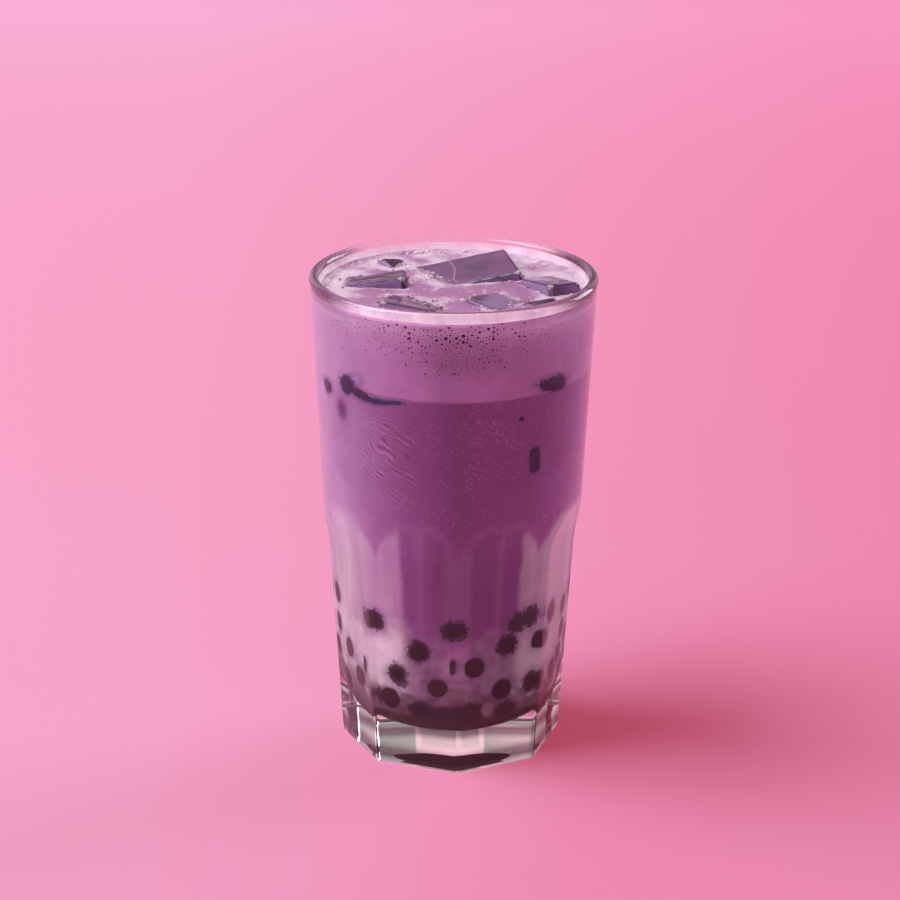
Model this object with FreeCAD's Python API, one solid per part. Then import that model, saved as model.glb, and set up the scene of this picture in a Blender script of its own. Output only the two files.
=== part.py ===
"""A blueberry milk drink with chewy pearls, froth and ice in a tall eight-sided tumbler.

Millimetres, +Z up, origin at the middle of the tumbler's foot. The tumbler is a turned
cone whose lower half is cut by eight flat facets. The facets end above in round arches.
The drink fills it in layers: a bed of pearls, the milk, and a froth with ice in it.
"""
import FreeCAD, Part
import math
import os

# Driving sizes of the tumbler
HEIGHT = 152.0
RIM_RADIUS = 44.0            # outside, at the lip
LIP_WALL = 3.2               # thickness of the rounded lip
LIP_STEP = 0.3               # how far the lip stands out from the wall under it
LIP_HEIGHT = 2.8             # lower edge of the lip, below the top
BODY_TAPER = 0.048           # radius gained per millimetre of height, outside
BASE_THICKNESS = 10.5
FLOOR_WALL = 4.28            # glass between a facet and the cavity's cone, at the floor
FLOOR_CORNER = 14.0          # radius between the cavity's floor and its wall
FOOT_ROUNDING = 1.2

# Facets
FACETS = 8
FACET_ANGLE = 3.6            # turn of the first corner from the front, in degrees
FACET_DEPTH = 4.34           # how deep a facet cuts into the cone, at the foot
FACET_TAPER = 0.0547         # apothem gained per millimetre of height
FACET_STRAIGHT = 64.0        # height where a facet starts to run out
FACET_RUNOUT = 49.0          # radius of the arc by which it runs out
CORNER_ROUNDING = 3.5
ARCH_ROUNDING = 2.0

# Shallow hollow under the foot
PUNT_RADIUS = 25.0
PUNT_DEPTH = 0.5

# Levels of the drink
FREEBOARD = 4.5              # from the froth to the top of the lip
FROTH_DEPTH = 24.0
PEARL_BED_DEPTH = 38.5       # from the cavity's floor to the flat top of the bed

# Pearls lying loose on top of the bed
PEARL_DIAMETER = 7.4
PEARL_COUNT = 30
PEARL_RISE = 5.0             # most that one stands out of the bed
PEARL_EDGE_GAP = 0.6         # from the cavity's wall

ICE_ROUNDING = 1.4
# Ice: bearing from +X towards +Y, middle from the cavity's wall and below the froth's top;
# length, width and thickness; turn about Z, tilt about X and lean about Y. Angles in degrees.
ICE = {
    "back": ((71, 24.2, 5.0), (29.5, 22.0, 13.5), (13, 4, -9)),
    "back_left": ((127, 8.7, 3.9), (9.0, 8.0, 9.0), (35, 18, 12)),
    "left": ((170, 16.6, 3.2), (19.2, 12.3, 9.7), (-3, -4, -10)),
    "front_left": ((-122, 18.5, 4.6), (20.0, 15.4, 9.9), (-11, -8, 7)),
    "front": ((-53, 20.7, 5.3), (13.5, 13.0, 11.9), (-46, -4, 7)),
    "front_right": ((-34, 8.1, 4.1), (12.5, 8.0, 9.5), (38, 0, 4)),
    "right": ((0, 11.1, 2.9), (18.1, 11.7, 10.3), (-61, -3, -7)),
}

froth_top = HEIGHT - FREEBOARD
froth_bottom = froth_top - FROTH_DEPTH
pearl_bed_top = BASE_THICKNESS + PEARL_BED_DEPTH
lip_roundness = LIP_WALL / 2.0
lip_centre_height = HEIGHT - lip_roundness
rim_inner_radius = RIM_RADIUS - LIP_WALL
facet_step = 360.0 / FACETS
AXIS = FreeCAD.Vector(0, 0, 1)
ORIGIN = FreeCAD.Vector(0, 0, 0)


def body_radius(height):
    """Radius of the tumbler's cone outside, before the facets are cut."""
    return RIM_RADIUS - LIP_STEP - BODY_TAPER * (HEIGHT - LIP_HEIGHT - height)


def facet_distance(height):
    """Distance of a facet from the axis, along its flat."""
    return body_radius(0) - FACET_DEPTH + FACET_TAPER * height


def cavity_taper():
    """Radius that the cavity gains per millimetre of height."""
    floor_radius = facet_distance(BASE_THICKNESS) - FLOOR_WALL
    return (rim_inner_radius - floor_radius) / (lip_centre_height - BASE_THICKNESS)


def cavity_radius(height):
    """Radius of the cavity's wall, without the round corner at the floor."""
    return rim_inner_radius - cavity_taper() * (lip_centre_height - height)


def point(radius, height):
    """Point of a profile that is turned about the axis."""
    return FreeCAD.Vector(radius, 0, height)


def below_level(angle):
    """Unit vector of a profile that points outward and down by an angle."""
    return FreeCAD.Vector(math.cos(angle), 0, -math.sin(angle))


def turned(edges):
    """Solid turned from the edges of a closed profile."""
    face = Part.Face(Part.Wire(edges))
    return face.revolve(ORIGIN, AXIS, 360)


def line(start, end):
    """Straight edge between two points."""
    return Part.LineSegment(start, end).toShape()


def cavity_wall(top):
    """Edges of the cavity's profile, from the middle of its floor up its wall to a height."""
    slope = math.atan(cavity_taper())
    # The floor's corner arc touches the floor and the sloping wall
    setback = FLOOR_CORNER * math.tan((math.pi / 2 - slope) / 2)
    arc_start = point(cavity_radius(BASE_THICKNESS) - setback, BASE_THICKNESS)
    centre = arc_start + AXIS * FLOOR_CORNER
    arc_middle = centre + below_level((math.pi / 2 + slope) / 2) * FLOOR_CORNER
    arc_end = centre + below_level(slope) * FLOOR_CORNER
    return [line(point(0, BASE_THICKNESS), arc_start),
            Part.Arc(arc_start, arc_middle, arc_end).toShape(),
            line(arc_end, point(cavity_radius(top), top))]


def cavity(top):
    """Space inside the tumbler, from its floor up to a height."""
    middle_top = point(0, top)
    lid = [line(point(cavity_radius(top), top), middle_top),
           line(middle_top, point(0, BASE_THICKNESS))]
    return turned(cavity_wall(top) + lid)


def tumbler_blank():
    """Turned tumbler with its lip and cavity, before the facets are cut."""
    foot = point(body_radius(0), 0)
    under_lip = point(body_radius(HEIGHT - LIP_HEIGHT), HEIGHT - LIP_HEIGHT)
    lip_outside = point(RIM_RADIUS, lip_centre_height)
    lip_top = point(RIM_RADIUS - lip_roundness, HEIGHT)
    lip_inside = point(rim_inner_radius, lip_centre_height)
    outside = [line(ORIGIN, foot), line(foot, under_lip), line(under_lip, lip_outside),
               Part.Arc(lip_outside, lip_top, lip_inside).toShape()]
    middle = [line(point(0, BASE_THICKNESS), ORIGIN)]
    inside = cavity_wall(lip_centre_height)
    return turned(middle + outside + inside[::-1])


def facet_cutter():
    """Block whose inner face is one facet with its run-out, on the +X side."""
    slope = math.atan(FACET_TAPER)
    reach = RIM_RADIUS * 2
    start = point(facet_distance(0), 0)
    straight_end = point(facet_distance(FACET_STRAIGHT), FACET_STRAIGHT)
    centre = straight_end + below_level(slope) * FACET_RUNOUT
    # The arc leaves the flat smoothly and runs on well outside the cone
    on_arc = [centre - below_level(slope + math.radians(turn)) * FACET_RUNOUT for turn in (25, 50)]
    corner_top = point(reach, on_arc[1].z)
    below = point(facet_distance(-1), -1)
    corner_bottom = point(reach, -1)
    edges = [line(below, start), line(start, straight_end),
             Part.Arc(straight_end, on_arc[0], on_arc[1]).toShape(),
             line(on_arc[1], corner_top), line(corner_top, corner_bottom),
             line(corner_bottom, below)]
    face = Part.Face(Part.Wire(edges))
    face.translate(FreeCAD.Vector(0, -reach / 2, 0))
    return face.extrude(FreeCAD.Vector(0, reach, 0))


def corner_angle(index):
    """Angle of a corner between two facets, from +X towards +Y."""
    return -90.0 + FACET_ANGLE + index * facet_step


def cut_facets(blank):
    """Cut the eight facets into the blank."""
    cutters = []
    for index in range(FACETS):
        cutter = facet_cutter()
        cutter.rotate(ORIGIN, AXIS, corner_angle(index) + facet_step / 2)
        cutters.append(cutter)
    return blank.cut(cutters)


def edge_middle(edge):
    """Middle point of an edge."""
    return edge.valueAt((edge.FirstParameter + edge.LastParameter) / 2)


def distance_from_axis(spot):
    """Distance of a point from the axis."""
    return math.hypot(spot.x, spot.y)


def corner_edges(solid):
    """Edges between two neighbouring facets, with their curved upper ends."""
    found = []
    for edge in solid.Edges:
        middle = edge_middle(edge)
        turn = math.degrees(math.atan2(middle.y, middle.x)) - corner_angle(0)
        off_corner = (turn + facet_step / 2) % facet_step - facet_step / 2
        rises = edge.BoundBox.ZLength > CORNER_ROUNDING
        below_arches = edge.BoundBox.ZMax < lip_centre_height / 2
        outside = distance_from_axis(middle) > facet_distance(0)
        if abs(off_corner) < 1 and rises and below_arches and outside:
            found.append(edge)
    return found


def arch_edges(solid):
    """Edges where the facets run out into the cone."""
    found = []
    for edge in solid.Edges:
        box = edge.BoundBox
        on_cone = abs(distance_from_axis(edge_middle(edge)) - body_radius(edge_middle(edge).z)) < 0.05
        if on_cone and box.ZMin > FACET_STRAIGHT and box.ZMax < HEIGHT - 2 * LIP_HEIGHT:
            found.append(edge)
    return found


def foot_edges(solid):
    """Edges of the foot's outline."""
    return [edge for edge in solid.Edges
            if edge.BoundBox.ZMax < 0.01 and distance_from_axis(edge_middle(edge)) > PUNT_RADIUS]


def punt():
    """Lens-shaped space under the foot."""
    sphere_radius = (PUNT_RADIUS ** 2 + PUNT_DEPTH ** 2) / (2 * PUNT_DEPTH)
    centre = AXIS * (PUNT_DEPTH - sphere_radius)
    return Part.makeSphere(sphere_radius, centre)


def tumbler():
    """The finished tumbler."""
    body = cut_facets(tumbler_blank())
    body = body.makeFillet(CORNER_ROUNDING, corner_edges(body))
    body = body.makeFillet(ARCH_ROUNDING, arch_edges(body))
    body = body.makeFillet(FOOT_ROUNDING, foot_edges(body))
    return body.cut(punt())


def ice_block(name):
    """One ice block with melted edges, in its place."""
    place, size, turns = ICE[name]
    bearing, from_wall, depth = place
    length, width, thickness = size
    corner = FreeCAD.Vector(-length / 2, -width / 2, -thickness / 2)
    block = Part.makeBox(length, width, thickness, corner)
    block = block.makeFillet(ICE_ROUNDING, block.Edges)
    turn, tilt, lean = turns
    block.rotate(ORIGIN, FreeCAD.Vector(0, 1, 0), lean)
    block.rotate(ORIGIN, FreeCAD.Vector(1, 0, 0), tilt)
    block.rotate(ORIGIN, AXIS, turn)
    distance = cavity_radius(froth_top) - from_wall
    along = math.radians(bearing)
    block.translate(FreeCAD.Vector(distance * math.cos(along), distance * math.sin(along),
                                   froth_top - depth))
    return block


def ice_blocks():
    """All the ice, with each block hollowed where an earlier one lies against it."""
    blocks = {}
    for name in ICE:
        block = ice_block(name)
        blocks[name] = block.cut(list(blocks.values())) if blocks else block
    return blocks


def loose_pearls():
    """Pearls that stand out of the top of the bed, spread in a sunflower spiral."""
    reach = cavity_radius(pearl_bed_top) - PEARL_DIAMETER / 2 - PEARL_EDGE_GAP
    golden_angle = math.pi * (3 - math.sqrt(5))
    pearls = []
    for index in range(PEARL_COUNT):
        radius = reach * math.sqrt((index + 0.5) / PEARL_COUNT)
        angle = index * golden_angle
        rise = PEARL_RISE * (0.55 + 0.45 * math.sin(index * 2.4))
        centre_height = pearl_bed_top + rise - PEARL_DIAMETER / 2
        centre = FreeCAD.Vector(radius * math.cos(angle), radius * math.sin(angle), centre_height)
        pearls.append(Part.makeSphere(PEARL_DIAMETER / 2, centre))
    return pearls


def pearl_bed():
    """The heap of pearls, as one solid out to its uneven top."""
    return cavity(pearl_bed_top).fuse(loose_pearls()).removeSplitter()


def export(name, solid):
    """Write one piece as parts/NAME.step."""
    solid = solid.Solids[0] if len(solid.Solids) == 1 else solid
    print(f"{name}: {solid.Volume / 1000:.1f} cm3, {len(solid.Solids)} solid, valid {solid.isValid()}")
    solid.exportStep(f"parts/{name}.step")


def main():
    """Build and export every piece."""
    os.makedirs("parts", exist_ok=True)
    ice = ice_blocks()
    bed = pearl_bed()
    below_milk_top = cavity(froth_bottom)
    milk = below_milk_top.cut([bed] + list(ice.values()))
    froth = cavity(froth_top).cut([below_milk_top] + list(ice.values()))
    export("glass", tumbler())
    export("pearl_bed", bed)
    export("milk", milk)
    export("froth", froth)
    for name, block in ice.items():
        export(f"ice_{name}", block)


main()
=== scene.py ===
"""Looks of a blueberry milk drink with pearls, froth and ice in a tall faceted tumbler.

Everything is in metres, in the frame's own axes: +Z up, the foot's middle at the origin,
-Y towards the front. Bearings in degrees are counted from the front towards the right.
Bearings in radians, and the tumbler's first corner, are counted from +X towards +Y.
"""
from __future__ import annotations

import logging
import math
from dataclasses import dataclass, field
from enum import Enum
from typing import Callable, Iterable, Sequence

import bpy
import numpy as np
from mathutils import Matrix, Vector
from mathutils.bvhtree import BVHTree


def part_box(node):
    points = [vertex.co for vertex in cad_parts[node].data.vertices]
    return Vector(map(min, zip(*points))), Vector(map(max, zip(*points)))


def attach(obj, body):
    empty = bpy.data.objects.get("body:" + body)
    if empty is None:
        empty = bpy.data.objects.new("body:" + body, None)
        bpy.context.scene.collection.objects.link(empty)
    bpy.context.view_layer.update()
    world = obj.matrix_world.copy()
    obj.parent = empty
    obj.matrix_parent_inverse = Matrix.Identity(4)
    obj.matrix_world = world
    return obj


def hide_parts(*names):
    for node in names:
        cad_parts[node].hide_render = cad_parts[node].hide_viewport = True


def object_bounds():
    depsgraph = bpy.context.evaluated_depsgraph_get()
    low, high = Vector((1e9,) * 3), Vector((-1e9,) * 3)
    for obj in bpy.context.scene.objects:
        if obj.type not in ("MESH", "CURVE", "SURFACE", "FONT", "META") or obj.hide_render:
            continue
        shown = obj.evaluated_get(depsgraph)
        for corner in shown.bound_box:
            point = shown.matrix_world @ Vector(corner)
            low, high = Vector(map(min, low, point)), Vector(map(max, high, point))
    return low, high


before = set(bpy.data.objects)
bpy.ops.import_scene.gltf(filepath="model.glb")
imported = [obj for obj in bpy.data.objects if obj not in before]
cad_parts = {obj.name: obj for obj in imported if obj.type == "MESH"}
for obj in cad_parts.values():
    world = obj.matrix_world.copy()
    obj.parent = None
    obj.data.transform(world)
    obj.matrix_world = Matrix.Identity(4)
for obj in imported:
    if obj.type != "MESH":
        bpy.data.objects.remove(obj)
cad_low, cad_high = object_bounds()

log = logging.getLogger("drink")
MM = 0.001
BODY = "root"
FLAT = (1, 1, 0)
Node, Socket, Piece = bpy.types.Node, bpy.types.NodeSocket, bpy.types.Object
Pair = tuple[float, float]
Triple = tuple[float, float, float]
Colour = Triple
Array = np.ndarray
Values = Array | float
Faces = list[tuple[int, ...]]
# What the marks of a point stand for: in the drink, on the ice and in the film
SPECK_MARK, CURL_MARK, STRAND_MARK, VEIL_MARK = range(4)
NO_MARKS = (0, 0, 0, 0)
LIT_SIDE_AND_PALE_MARK, HIGHLIGHT_AND_CRACK_MARK, SHADE_LINE_MARK = range(3)
FILM_MARK = 0


# ---- helpers


def srgb(red: float, green: float, blue: float) -> Colour:
    """Linear colour of a screen colour.

    Args:
        red, green, blue: screen values from 0 to 255.

    Returns:
        The linear colour, each value from 0 to 1.
    """
    shares = (value / 255 for value in (red, green, blue))
    return tuple(share / 12.92 if share <= 0.04045 else ((share + 0.055) / 1.055) ** 2.4
                 for share in shares)


def smooth_step(low: float, high: float, value: Array) -> Array:
    """Share from 0 below low to 1 above high, with soft ends."""
    share = np.clip((value - low) / (high - low), 0, 1)
    return share * share * (3 - 2 * share)


def smooth_min(first: Array, second: Array, blend: float) -> Array:
    """Lower of two values, rounded where they are within blend of each other."""
    near = np.maximum(blend - np.abs(first - second), 0) / blend
    return np.minimum(first, second) - near * near * blend / 4


def hump(value: Array, middle: float, width: float) -> Array:
    """Share that is 1 at a middle value and falls softly to 0 on both sides."""
    return np.exp(-((value - middle) / width) ** 2)


def towards(tint: Array, colour: Colour, share: Array) -> Array:
    """Tint of each point moved towards a colour by that point's share."""
    return tint + (np.array(colour) - tint) * share[:, None]


def front_bearing(points: Array) -> Array:
    """Bearings of points from the front towards the right, in degrees."""
    return np.degrees(np.arctan2(points[:, 0], -points[:, 1]))


def turned(bearing: Values, middle: float) -> Values:
    """How far bearings lie from a middle one, from -180 to 180 degrees."""
    return np.mod(bearing - middle + 180, 360) - 180


def even_turns(count: int) -> Array:
    """Angles in even steps once round the axis, in radians."""
    return np.arange(count) * 2 * math.pi / count


def capped(first: Sequence[float], rows: Array, last: Sequence[float]) -> Array:
    """Rows with one more before them and one more after them."""
    return np.concatenate([[first], rows, [last]])


def add_object(name: str, data: bpy.types.ID) -> Piece:
    """New object with its data, in the scene.

    Args:
        name: name of the object.
        data: its mesh, lamp or camera.

    Returns:
        The object.
    """
    obj = bpy.data.objects.new(name, data)
    bpy.context.scene.collection.objects.link(obj)
    return obj


class ValueNoise:
    """Smooth noise from -1 to 1 on a lattice of random values."""

    def __init__(self, seed: int, cells: int = 32) -> None:
        """Draw the lattice.

        Args:
            seed: seed of the random values.
            cells: cells along each side before the lattice repeats.
        """
        self.cells = cells
        self.values = np.random.default_rng(seed).uniform(-1, 1, (cells, cells, cells))

    def at(self, points: Array, size: float) -> Array:
        """Noise at points.

        Args:
            points: array of (n, 3) places in metres.
            size: size of one cell in metres.

        Returns:
            Array of n values.
        """
        scaled = points / size
        base = np.floor(scaled).astype(int)
        part = scaled - base
        part = part * part * (3 - 2 * part)
        total = np.zeros(len(points))
        for corner in np.ndindex(2, 2, 2):
            step = np.array(corner)
            weight = np.prod(np.where(step == 1, part, 1 - part), axis=1)
            x, y, z = ((base + step) % self.cells).T
            total += weight * self.values[x, y, z]
        return total

    def layered(self, points: Array, size: float, layers: int = 3) -> Array:
        """Noise with finer layers added, each half as large and half as strong."""
        total = sum(self.at(points + 3.7 * MM * layer, size / 2 ** layer) / 2 ** layer
                    for layer in range(layers))
        return total / (2 - 0.5 ** (layers - 1))


# ---- meshes


@dataclass
class MeshParts:
    """Points, faces and point values that grow into one mesh."""

    points: list[Array] = field(default_factory=list)
    faces: Faces = field(default_factory=list)
    tints: list[Array] = field(default_factory=list)
    marks: list[Array] = field(default_factory=list)
    count: int = 0

    def add(self, points: Array, faces: Iterable[Sequence[int]],
            tint: Array | None = None, marks: Array | None = None) -> None:
        """Add one closed surface.

        Args:
            points: array of (n, 3) places.
            faces: corner numbers, counted from this surface's first point.
            tint: array of (n, 3) colours, or None for white.
            marks: array of (n, 4) shares of specks, curls, strands and veil, or None for none.
        """
        start = self.count
        self.points.append(points)
        self.faces.extend(tuple(start + corner for corner in face) for face in faces)
        self.tints.append(np.ones((len(points), 3)) if tint is None else tint)
        self.marks.append(np.zeros((len(points), 4)) if marks is None else marks)
        self.count += len(points)

    def build(self, name: str, finish: Finish) -> Piece:
        """Make the smooth object in its finish, with its tints and marks as attributes.

        Args:
            name: name of the object.
            finish: its finish.

        Returns:
            The object.
        """
        mesh = bpy.data.meshes.new(name)
        points = np.concatenate(self.points)
        mesh.from_pydata(points.tolist(), [], self.faces)
        mesh.shade_smooth()
        for label, values in (("tint", self.tints), ("marks", self.marks)):
            colours = np.ones((len(points), 4), dtype=np.float32)
            stored = np.concatenate(values)
            colours[:, :stored.shape[1]] = stored
            attribute = mesh.attributes.new(label, "FLOAT_COLOR", "POINT")
            attribute.data.foreach_set("color", colours.ravel())
        mesh.materials.append(finish.make())
        return add_object(name, mesh)


def ring_faces(rings: int, around: int, poles: bool = True) -> Faces:
    """Faces of a surface made of rings, closed at its ends by single points.

    Args:
        rings: number of rings, the poles not counted.
        around: points in each ring.
        poles: a single point comes before the rings and one after them.

    Returns:
        Corner numbers of each face, turned outward for rings that rise anticlockwise.
    """
    start = int(poles)
    faces: Faces = []
    for ring in range(rings - 1):
        low = start + ring * around
        for step in range(around):
            ahead = (step + 1) % around
            faces.append((low + step, low + ahead, low + around + ahead, low + around + step))
    if poles:
        faces.extend((0, start + (step + 1) % around, start + step) for step in range(around))
        top = start + rings * around
        low = top - around
        faces.extend((low + step, low + (step + 1) % around, top) for step in range(around))
    return faces


class Round(Enum):
    """A whole ball, or its upper half. The value is how far it reaches below its middle."""

    BALL = 1
    DOME = 0


def rounded(kind: Round, rings: int, around: int) -> tuple[Array, Faces]:
    """Points and faces of a ball or dome of radius 1, its middle at the origin.

    Args:
        kind: ball or dome.
        rings: rings between its poles.
        around: points in each ring.

    Returns:
        Array of (n, 3) points, and the corner numbers of each face.
    """
    if kind is Round.BALL:
        rises = np.linspace(-math.pi / 2, math.pi / 2, rings + 2)[1:-1]
    else:
        rises = np.linspace(0, math.pi / 2, rings + 1)[:-1]
    points = [polar(math.cos(rise), even_turns(around), math.sin(rise)) for rise in rises]
    points = capped((0, 0, -kind.value), np.concatenate(points), (0, 0, 1))
    return points, ring_faces(rings, around)


def polar(radius: Values, bearing: Array, height: Values) -> Array:
    """Places from distances to the axis, bearings in radians and heights."""
    return np.stack(np.broadcast_arrays(radius * np.cos(bearing), radius * np.sin(bearing),
                                        height), axis=-1)


# ---- node trees

Feed = float | Sequence[float] | Socket


class Graph:
    """A node tree with short calls that add and link nodes."""

    def __init__(self, tree: bpy.types.NodeTree) -> None:
        """Start from an empty tree."""
        self.tree = tree
        tree.nodes.clear()

    def add(self, kind: str, inputs: dict[str | int, Feed] | None = None,
            **settings: object) -> Node:
        """Add a node.

        Args:
            kind: the node's type name.
            inputs: value or source socket for each named or numbered input.
            settings: properties set on the node first.

        Returns:
            The new node.
        """
        node = self.tree.nodes.new(kind)
        for name, value in settings.items():
            setattr(node, name, value)
        for name, value in (inputs or {}).items():
            self.feed(node.inputs[name], value)
        return node

    def feed(self, socket: Socket, value: Feed) -> None:
        """Link a source to an input, or set the input's own value."""
        if isinstance(value, Socket):
            self.tree.links.new(value, socket)
        elif socket.type == "RGBA":
            socket.default_value = (*value, 1.0)
        else:
            socket.default_value = value

    def group(self, tree: bpy.types.NodeTree, inputs: dict[str, Feed]) -> Node:
        """Place a shared group and feed its inputs."""
        return self.add("ShaderNodeGroup", inputs, node_tree=tree)

    def maths(self, operation: str, first: Feed, second: Feed = 0.0) -> Socket:
        """Result of one sum."""
        node = self.add("ShaderNodeMath", {0: first, 1: second}, operation=operation)
        return node.outputs[0]

    def times(self, first: Feed, second: Feed) -> Socket:
        """Product of two values."""
        return self.maths("MULTIPLY", first, second)

    def rescale(self, value: Feed, low: float, high: float,
                to_low: float = 0.0, to_high: float = 1.0) -> Socket:
        """Value moved from one range to another, kept inside it."""
        node = self.add("ShaderNodeMapRange", {"Value": value, "From Min": low, "From Max": high,
                                               "To Min": to_low, "To Max": to_high})
        return node.outputs["Result"]

    def mix(self, share: Feed, first: Feed, second: Feed,
            blend: str = "MIX") -> Socket:
        """Colour mixed from two others.

        Args:
            share: share of the second colour.
            first, second: the two colours.
            blend: how they mix.

        Returns:
            The mixed colour.
        """
        node = self.add("ShaderNodeMix", data_type="RGBA", blend_type=blend)
        self.feed(node.inputs["Factor"], share)
        self.feed(node.inputs[6], first)
        self.feed(node.inputs[7], second)
        return node.outputs[2]

    def attribute(self, name: str, output: str = "Color") -> Socket:
        """Value that each point of the mesh carries."""
        return self.add("ShaderNodeAttribute", attribute_name=name).outputs[output]

    def marks(self) -> Node:
        """Node whose outputs are the first three shares that the mesh carries as marks."""
        return self.add("ShaderNodeSeparateColor", {"Color": self.attribute("marks")})

    def tinted(self, colour: Feed) -> Socket:
        """Colour times the tint that the mesh carries."""
        return self.mix(1.0, self.attribute("tint"), colour, "MULTIPLY")

    def mottle(self, scale: float, detail: float = 3.0) -> Socket:
        """Soft cloudy value from 0 to 1 over the surface."""
        return self.group(MOTTLE.tree, {"Place": self.place(), "Scale": scale,
                                        "Detail": detail}).outputs[0]

    def bump(self, height: Feed, distance: float, strength: float = 1.0) -> Socket:
        """Normal of a surface roughened by a height."""
        return self.add("ShaderNodeBump", {"Height": height, "Distance": distance,
                                           "Strength": strength}).outputs[0]

    def lit_through(self, shader: Node, colour: Colour) -> Socket:
        """Shader that casts no dark shadow: the lamps' light passes it, tinted by a colour.

        Args:
            shader: node of the thing's own shader.
            colour: tint of the light that passes.

        Returns:
            The mixed shader.
        """
        through = self.add("ShaderNodeBsdfTransparent", {"Color": colour})
        path = self.add("ShaderNodeLightPath")
        return self.mix_shaders(path.outputs["Is Shadow Ray"], shader, through)

    def mix_shaders(self, share: Feed, first: Node,
                    second: Node) -> Socket:
        """Shader mixed from two others."""
        return self.add("ShaderNodeMixShader", {0: share, 1: first.outputs[0],
                                                2: second.outputs[0]}).outputs[0]

    def place(self) -> Socket:
        """Place of the surface in the object's own frame."""
        return self.add("ShaderNodeTexCoord").outputs["Object"]


class SharedEffect:
    """A shader node group that several materials use."""

    def __init__(self, name: str, inputs: dict[str, tuple[str, Feed | None]],
                 outputs: dict[str, str],
                 fill: Callable[[Graph, Node, Node], None]) -> None:
        """Build the group once.

        Args:
            name: name of the group.
            inputs: socket type and starting value of each input.
            outputs: socket type of each output.
            fill: makes the nodes between the group's input and output nodes.
        """
        self.tree = bpy.data.node_groups.new(name, "ShaderNodeTree")
        for label, (kind, value) in inputs.items():
            socket = self.tree.interface.new_socket(label, in_out="INPUT", socket_type=kind)
            if value is not None:
                socket.default_value = value
        for label, kind in outputs.items():
            self.tree.interface.new_socket(label, in_out="OUTPUT", socket_type=kind)
        graph = Graph(self.tree)
        fill(graph, graph.add("NodeGroupInput"), graph.add("NodeGroupOutput"))


# How far a strand bends, in radians of its pattern, and how finely it is broken up
STRAND_BEND = 34.0
STRAND_BREAK_SCALE = 300.0


def fill_mottle(graph: Graph, source: Node, target: Node) -> None:
    """Soft cloudy value from 0 to 1.

    Args:
        graph: the group's tree.
        source: the group's input node.
        target: the group's output node.
    """
    noise = graph.add("ShaderNodeTexNoise", {"Vector": source.outputs["Place"],
                                             "Scale": source.outputs["Scale"],
                                             "Detail": source.outputs["Detail"]})
    graph.feed(target.inputs["Value"], graph.rescale(noise.outputs["Fac"], 0.3, 0.7))


def fill_curls(graph: Graph, source: Node, target: Node) -> None:
    """Thin wandering lines, as a mask.

    Args:
        graph: the group's tree.
        source: the group's input node.
        target: the group's output node.
    """
    noise = graph.add("ShaderNodeTexNoise", {"Vector": source.outputs["Place"],
                                             "Scale": source.outputs["Scale"],
                                             "Detail": 1.0, "Distortion": 0.9})
    turns = graph.times(noise.outputs["Fac"], source.outputs["Turns"])
    wave = graph.maths("ABSOLUTE", graph.maths("SINE", turns))
    graph.feed(target.inputs["Mask"], graph.rescale(wave, 0.32, 0.05))


def fill_strands(graph: Graph, source: Node, target: Node) -> None:
    """Long wrinkled strands that slope gently down, as masks of their light and dark lines.

    Args:
        graph: the group's tree.
        source: the group's input node.
        target: the group's output node.
    """
    bent = graph.add("ShaderNodeTexNoise", {"Vector": source.outputs["Place"],
                                            "Scale": source.outputs["Bend Scale"], "Detail": 2.5})
    parts = graph.add("ShaderNodeSeparateXYZ", {"Vector": source.outputs["Place"]})
    slope = graph.times(parts.outputs[0], source.outputs["Slope"])
    level = graph.maths("ADD", parts.outputs[2], slope)
    turns = graph.times(level, source.outputs["Scale"])
    turns = graph.maths("ADD", turns, graph.times(bent.outputs["Fac"], STRAND_BEND))
    wave = graph.maths("SINE", turns)
    fine = graph.add("ShaderNodeTexNoise", {"Vector": source.outputs["Place"],
                                            "Scale": STRAND_BREAK_SCALE, "Detail": 2.0})
    whole = graph.rescale(fine.outputs["Fac"], 0.4, 0.62, 0.2, 1.0)
    broken = graph.times(wave, whole)
    graph.feed(target.inputs["Light"], graph.rescale(broken, 0.55, 1.0))
    graph.feed(target.inputs["Dark"], graph.rescale(broken, -0.4, -0.9))


def fill_specks(graph: Graph, source: Node, target: Node) -> None:
    """Scattered round specks of uneven size, as a mask.

    Args:
        graph: the group's tree.
        source: the group's input node.
        target: the group's output node.
    """
    cells = graph.add("ShaderNodeTexVoronoi", {"Vector": source.outputs["Place"],
                                               "Scale": source.outputs["Scale"]})
    pick = graph.add("ShaderNodeSeparateColor", {"Color": cells.outputs["Color"]})
    chance = graph.maths("SUBTRACT", source.outputs["Share"], pick.outputs[0])
    reach = graph.times(graph.rescale(chance, 0.0, 0.6), source.outputs["Size"])
    inside = graph.maths("SUBTRACT", reach, cells.outputs["Distance"])
    graph.feed(target.inputs["Mask"], graph.rescale(inside, 0.0, 0.06))


VECTOR = "NodeSocketVector"
NUMBER = "NodeSocketFloat"
MOTTLE = SharedEffect("mottle", {"Place": (VECTOR, None), "Scale": (NUMBER, 100.0),
                                 "Detail": (NUMBER, 3.0)}, {"Value": NUMBER}, fill_mottle)
CURLS = SharedEffect("fine curls", {"Place": (VECTOR, None), "Scale": (NUMBER, 460.0),
                                    "Turns": (NUMBER, 16.0)}, {"Mask": NUMBER}, fill_curls)
STRANDS = SharedEffect("strands", {"Place": (VECTOR, None), "Scale": (NUMBER, 3000.0),
                                   "Bend Scale": (NUMBER, 70.0), "Slope": (NUMBER, 0.7)},
                       {"Light": NUMBER, "Dark": NUMBER}, fill_strands)
SPECKS = SharedEffect("specks", {"Place": (VECTOR, None), "Scale": (NUMBER, 800.0),
                                 "Size": (NUMBER, 0.5), "Share": (NUMBER, 0.5)},
                      {"Mask": NUMBER}, fill_specks)


# ---- finishes


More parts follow.
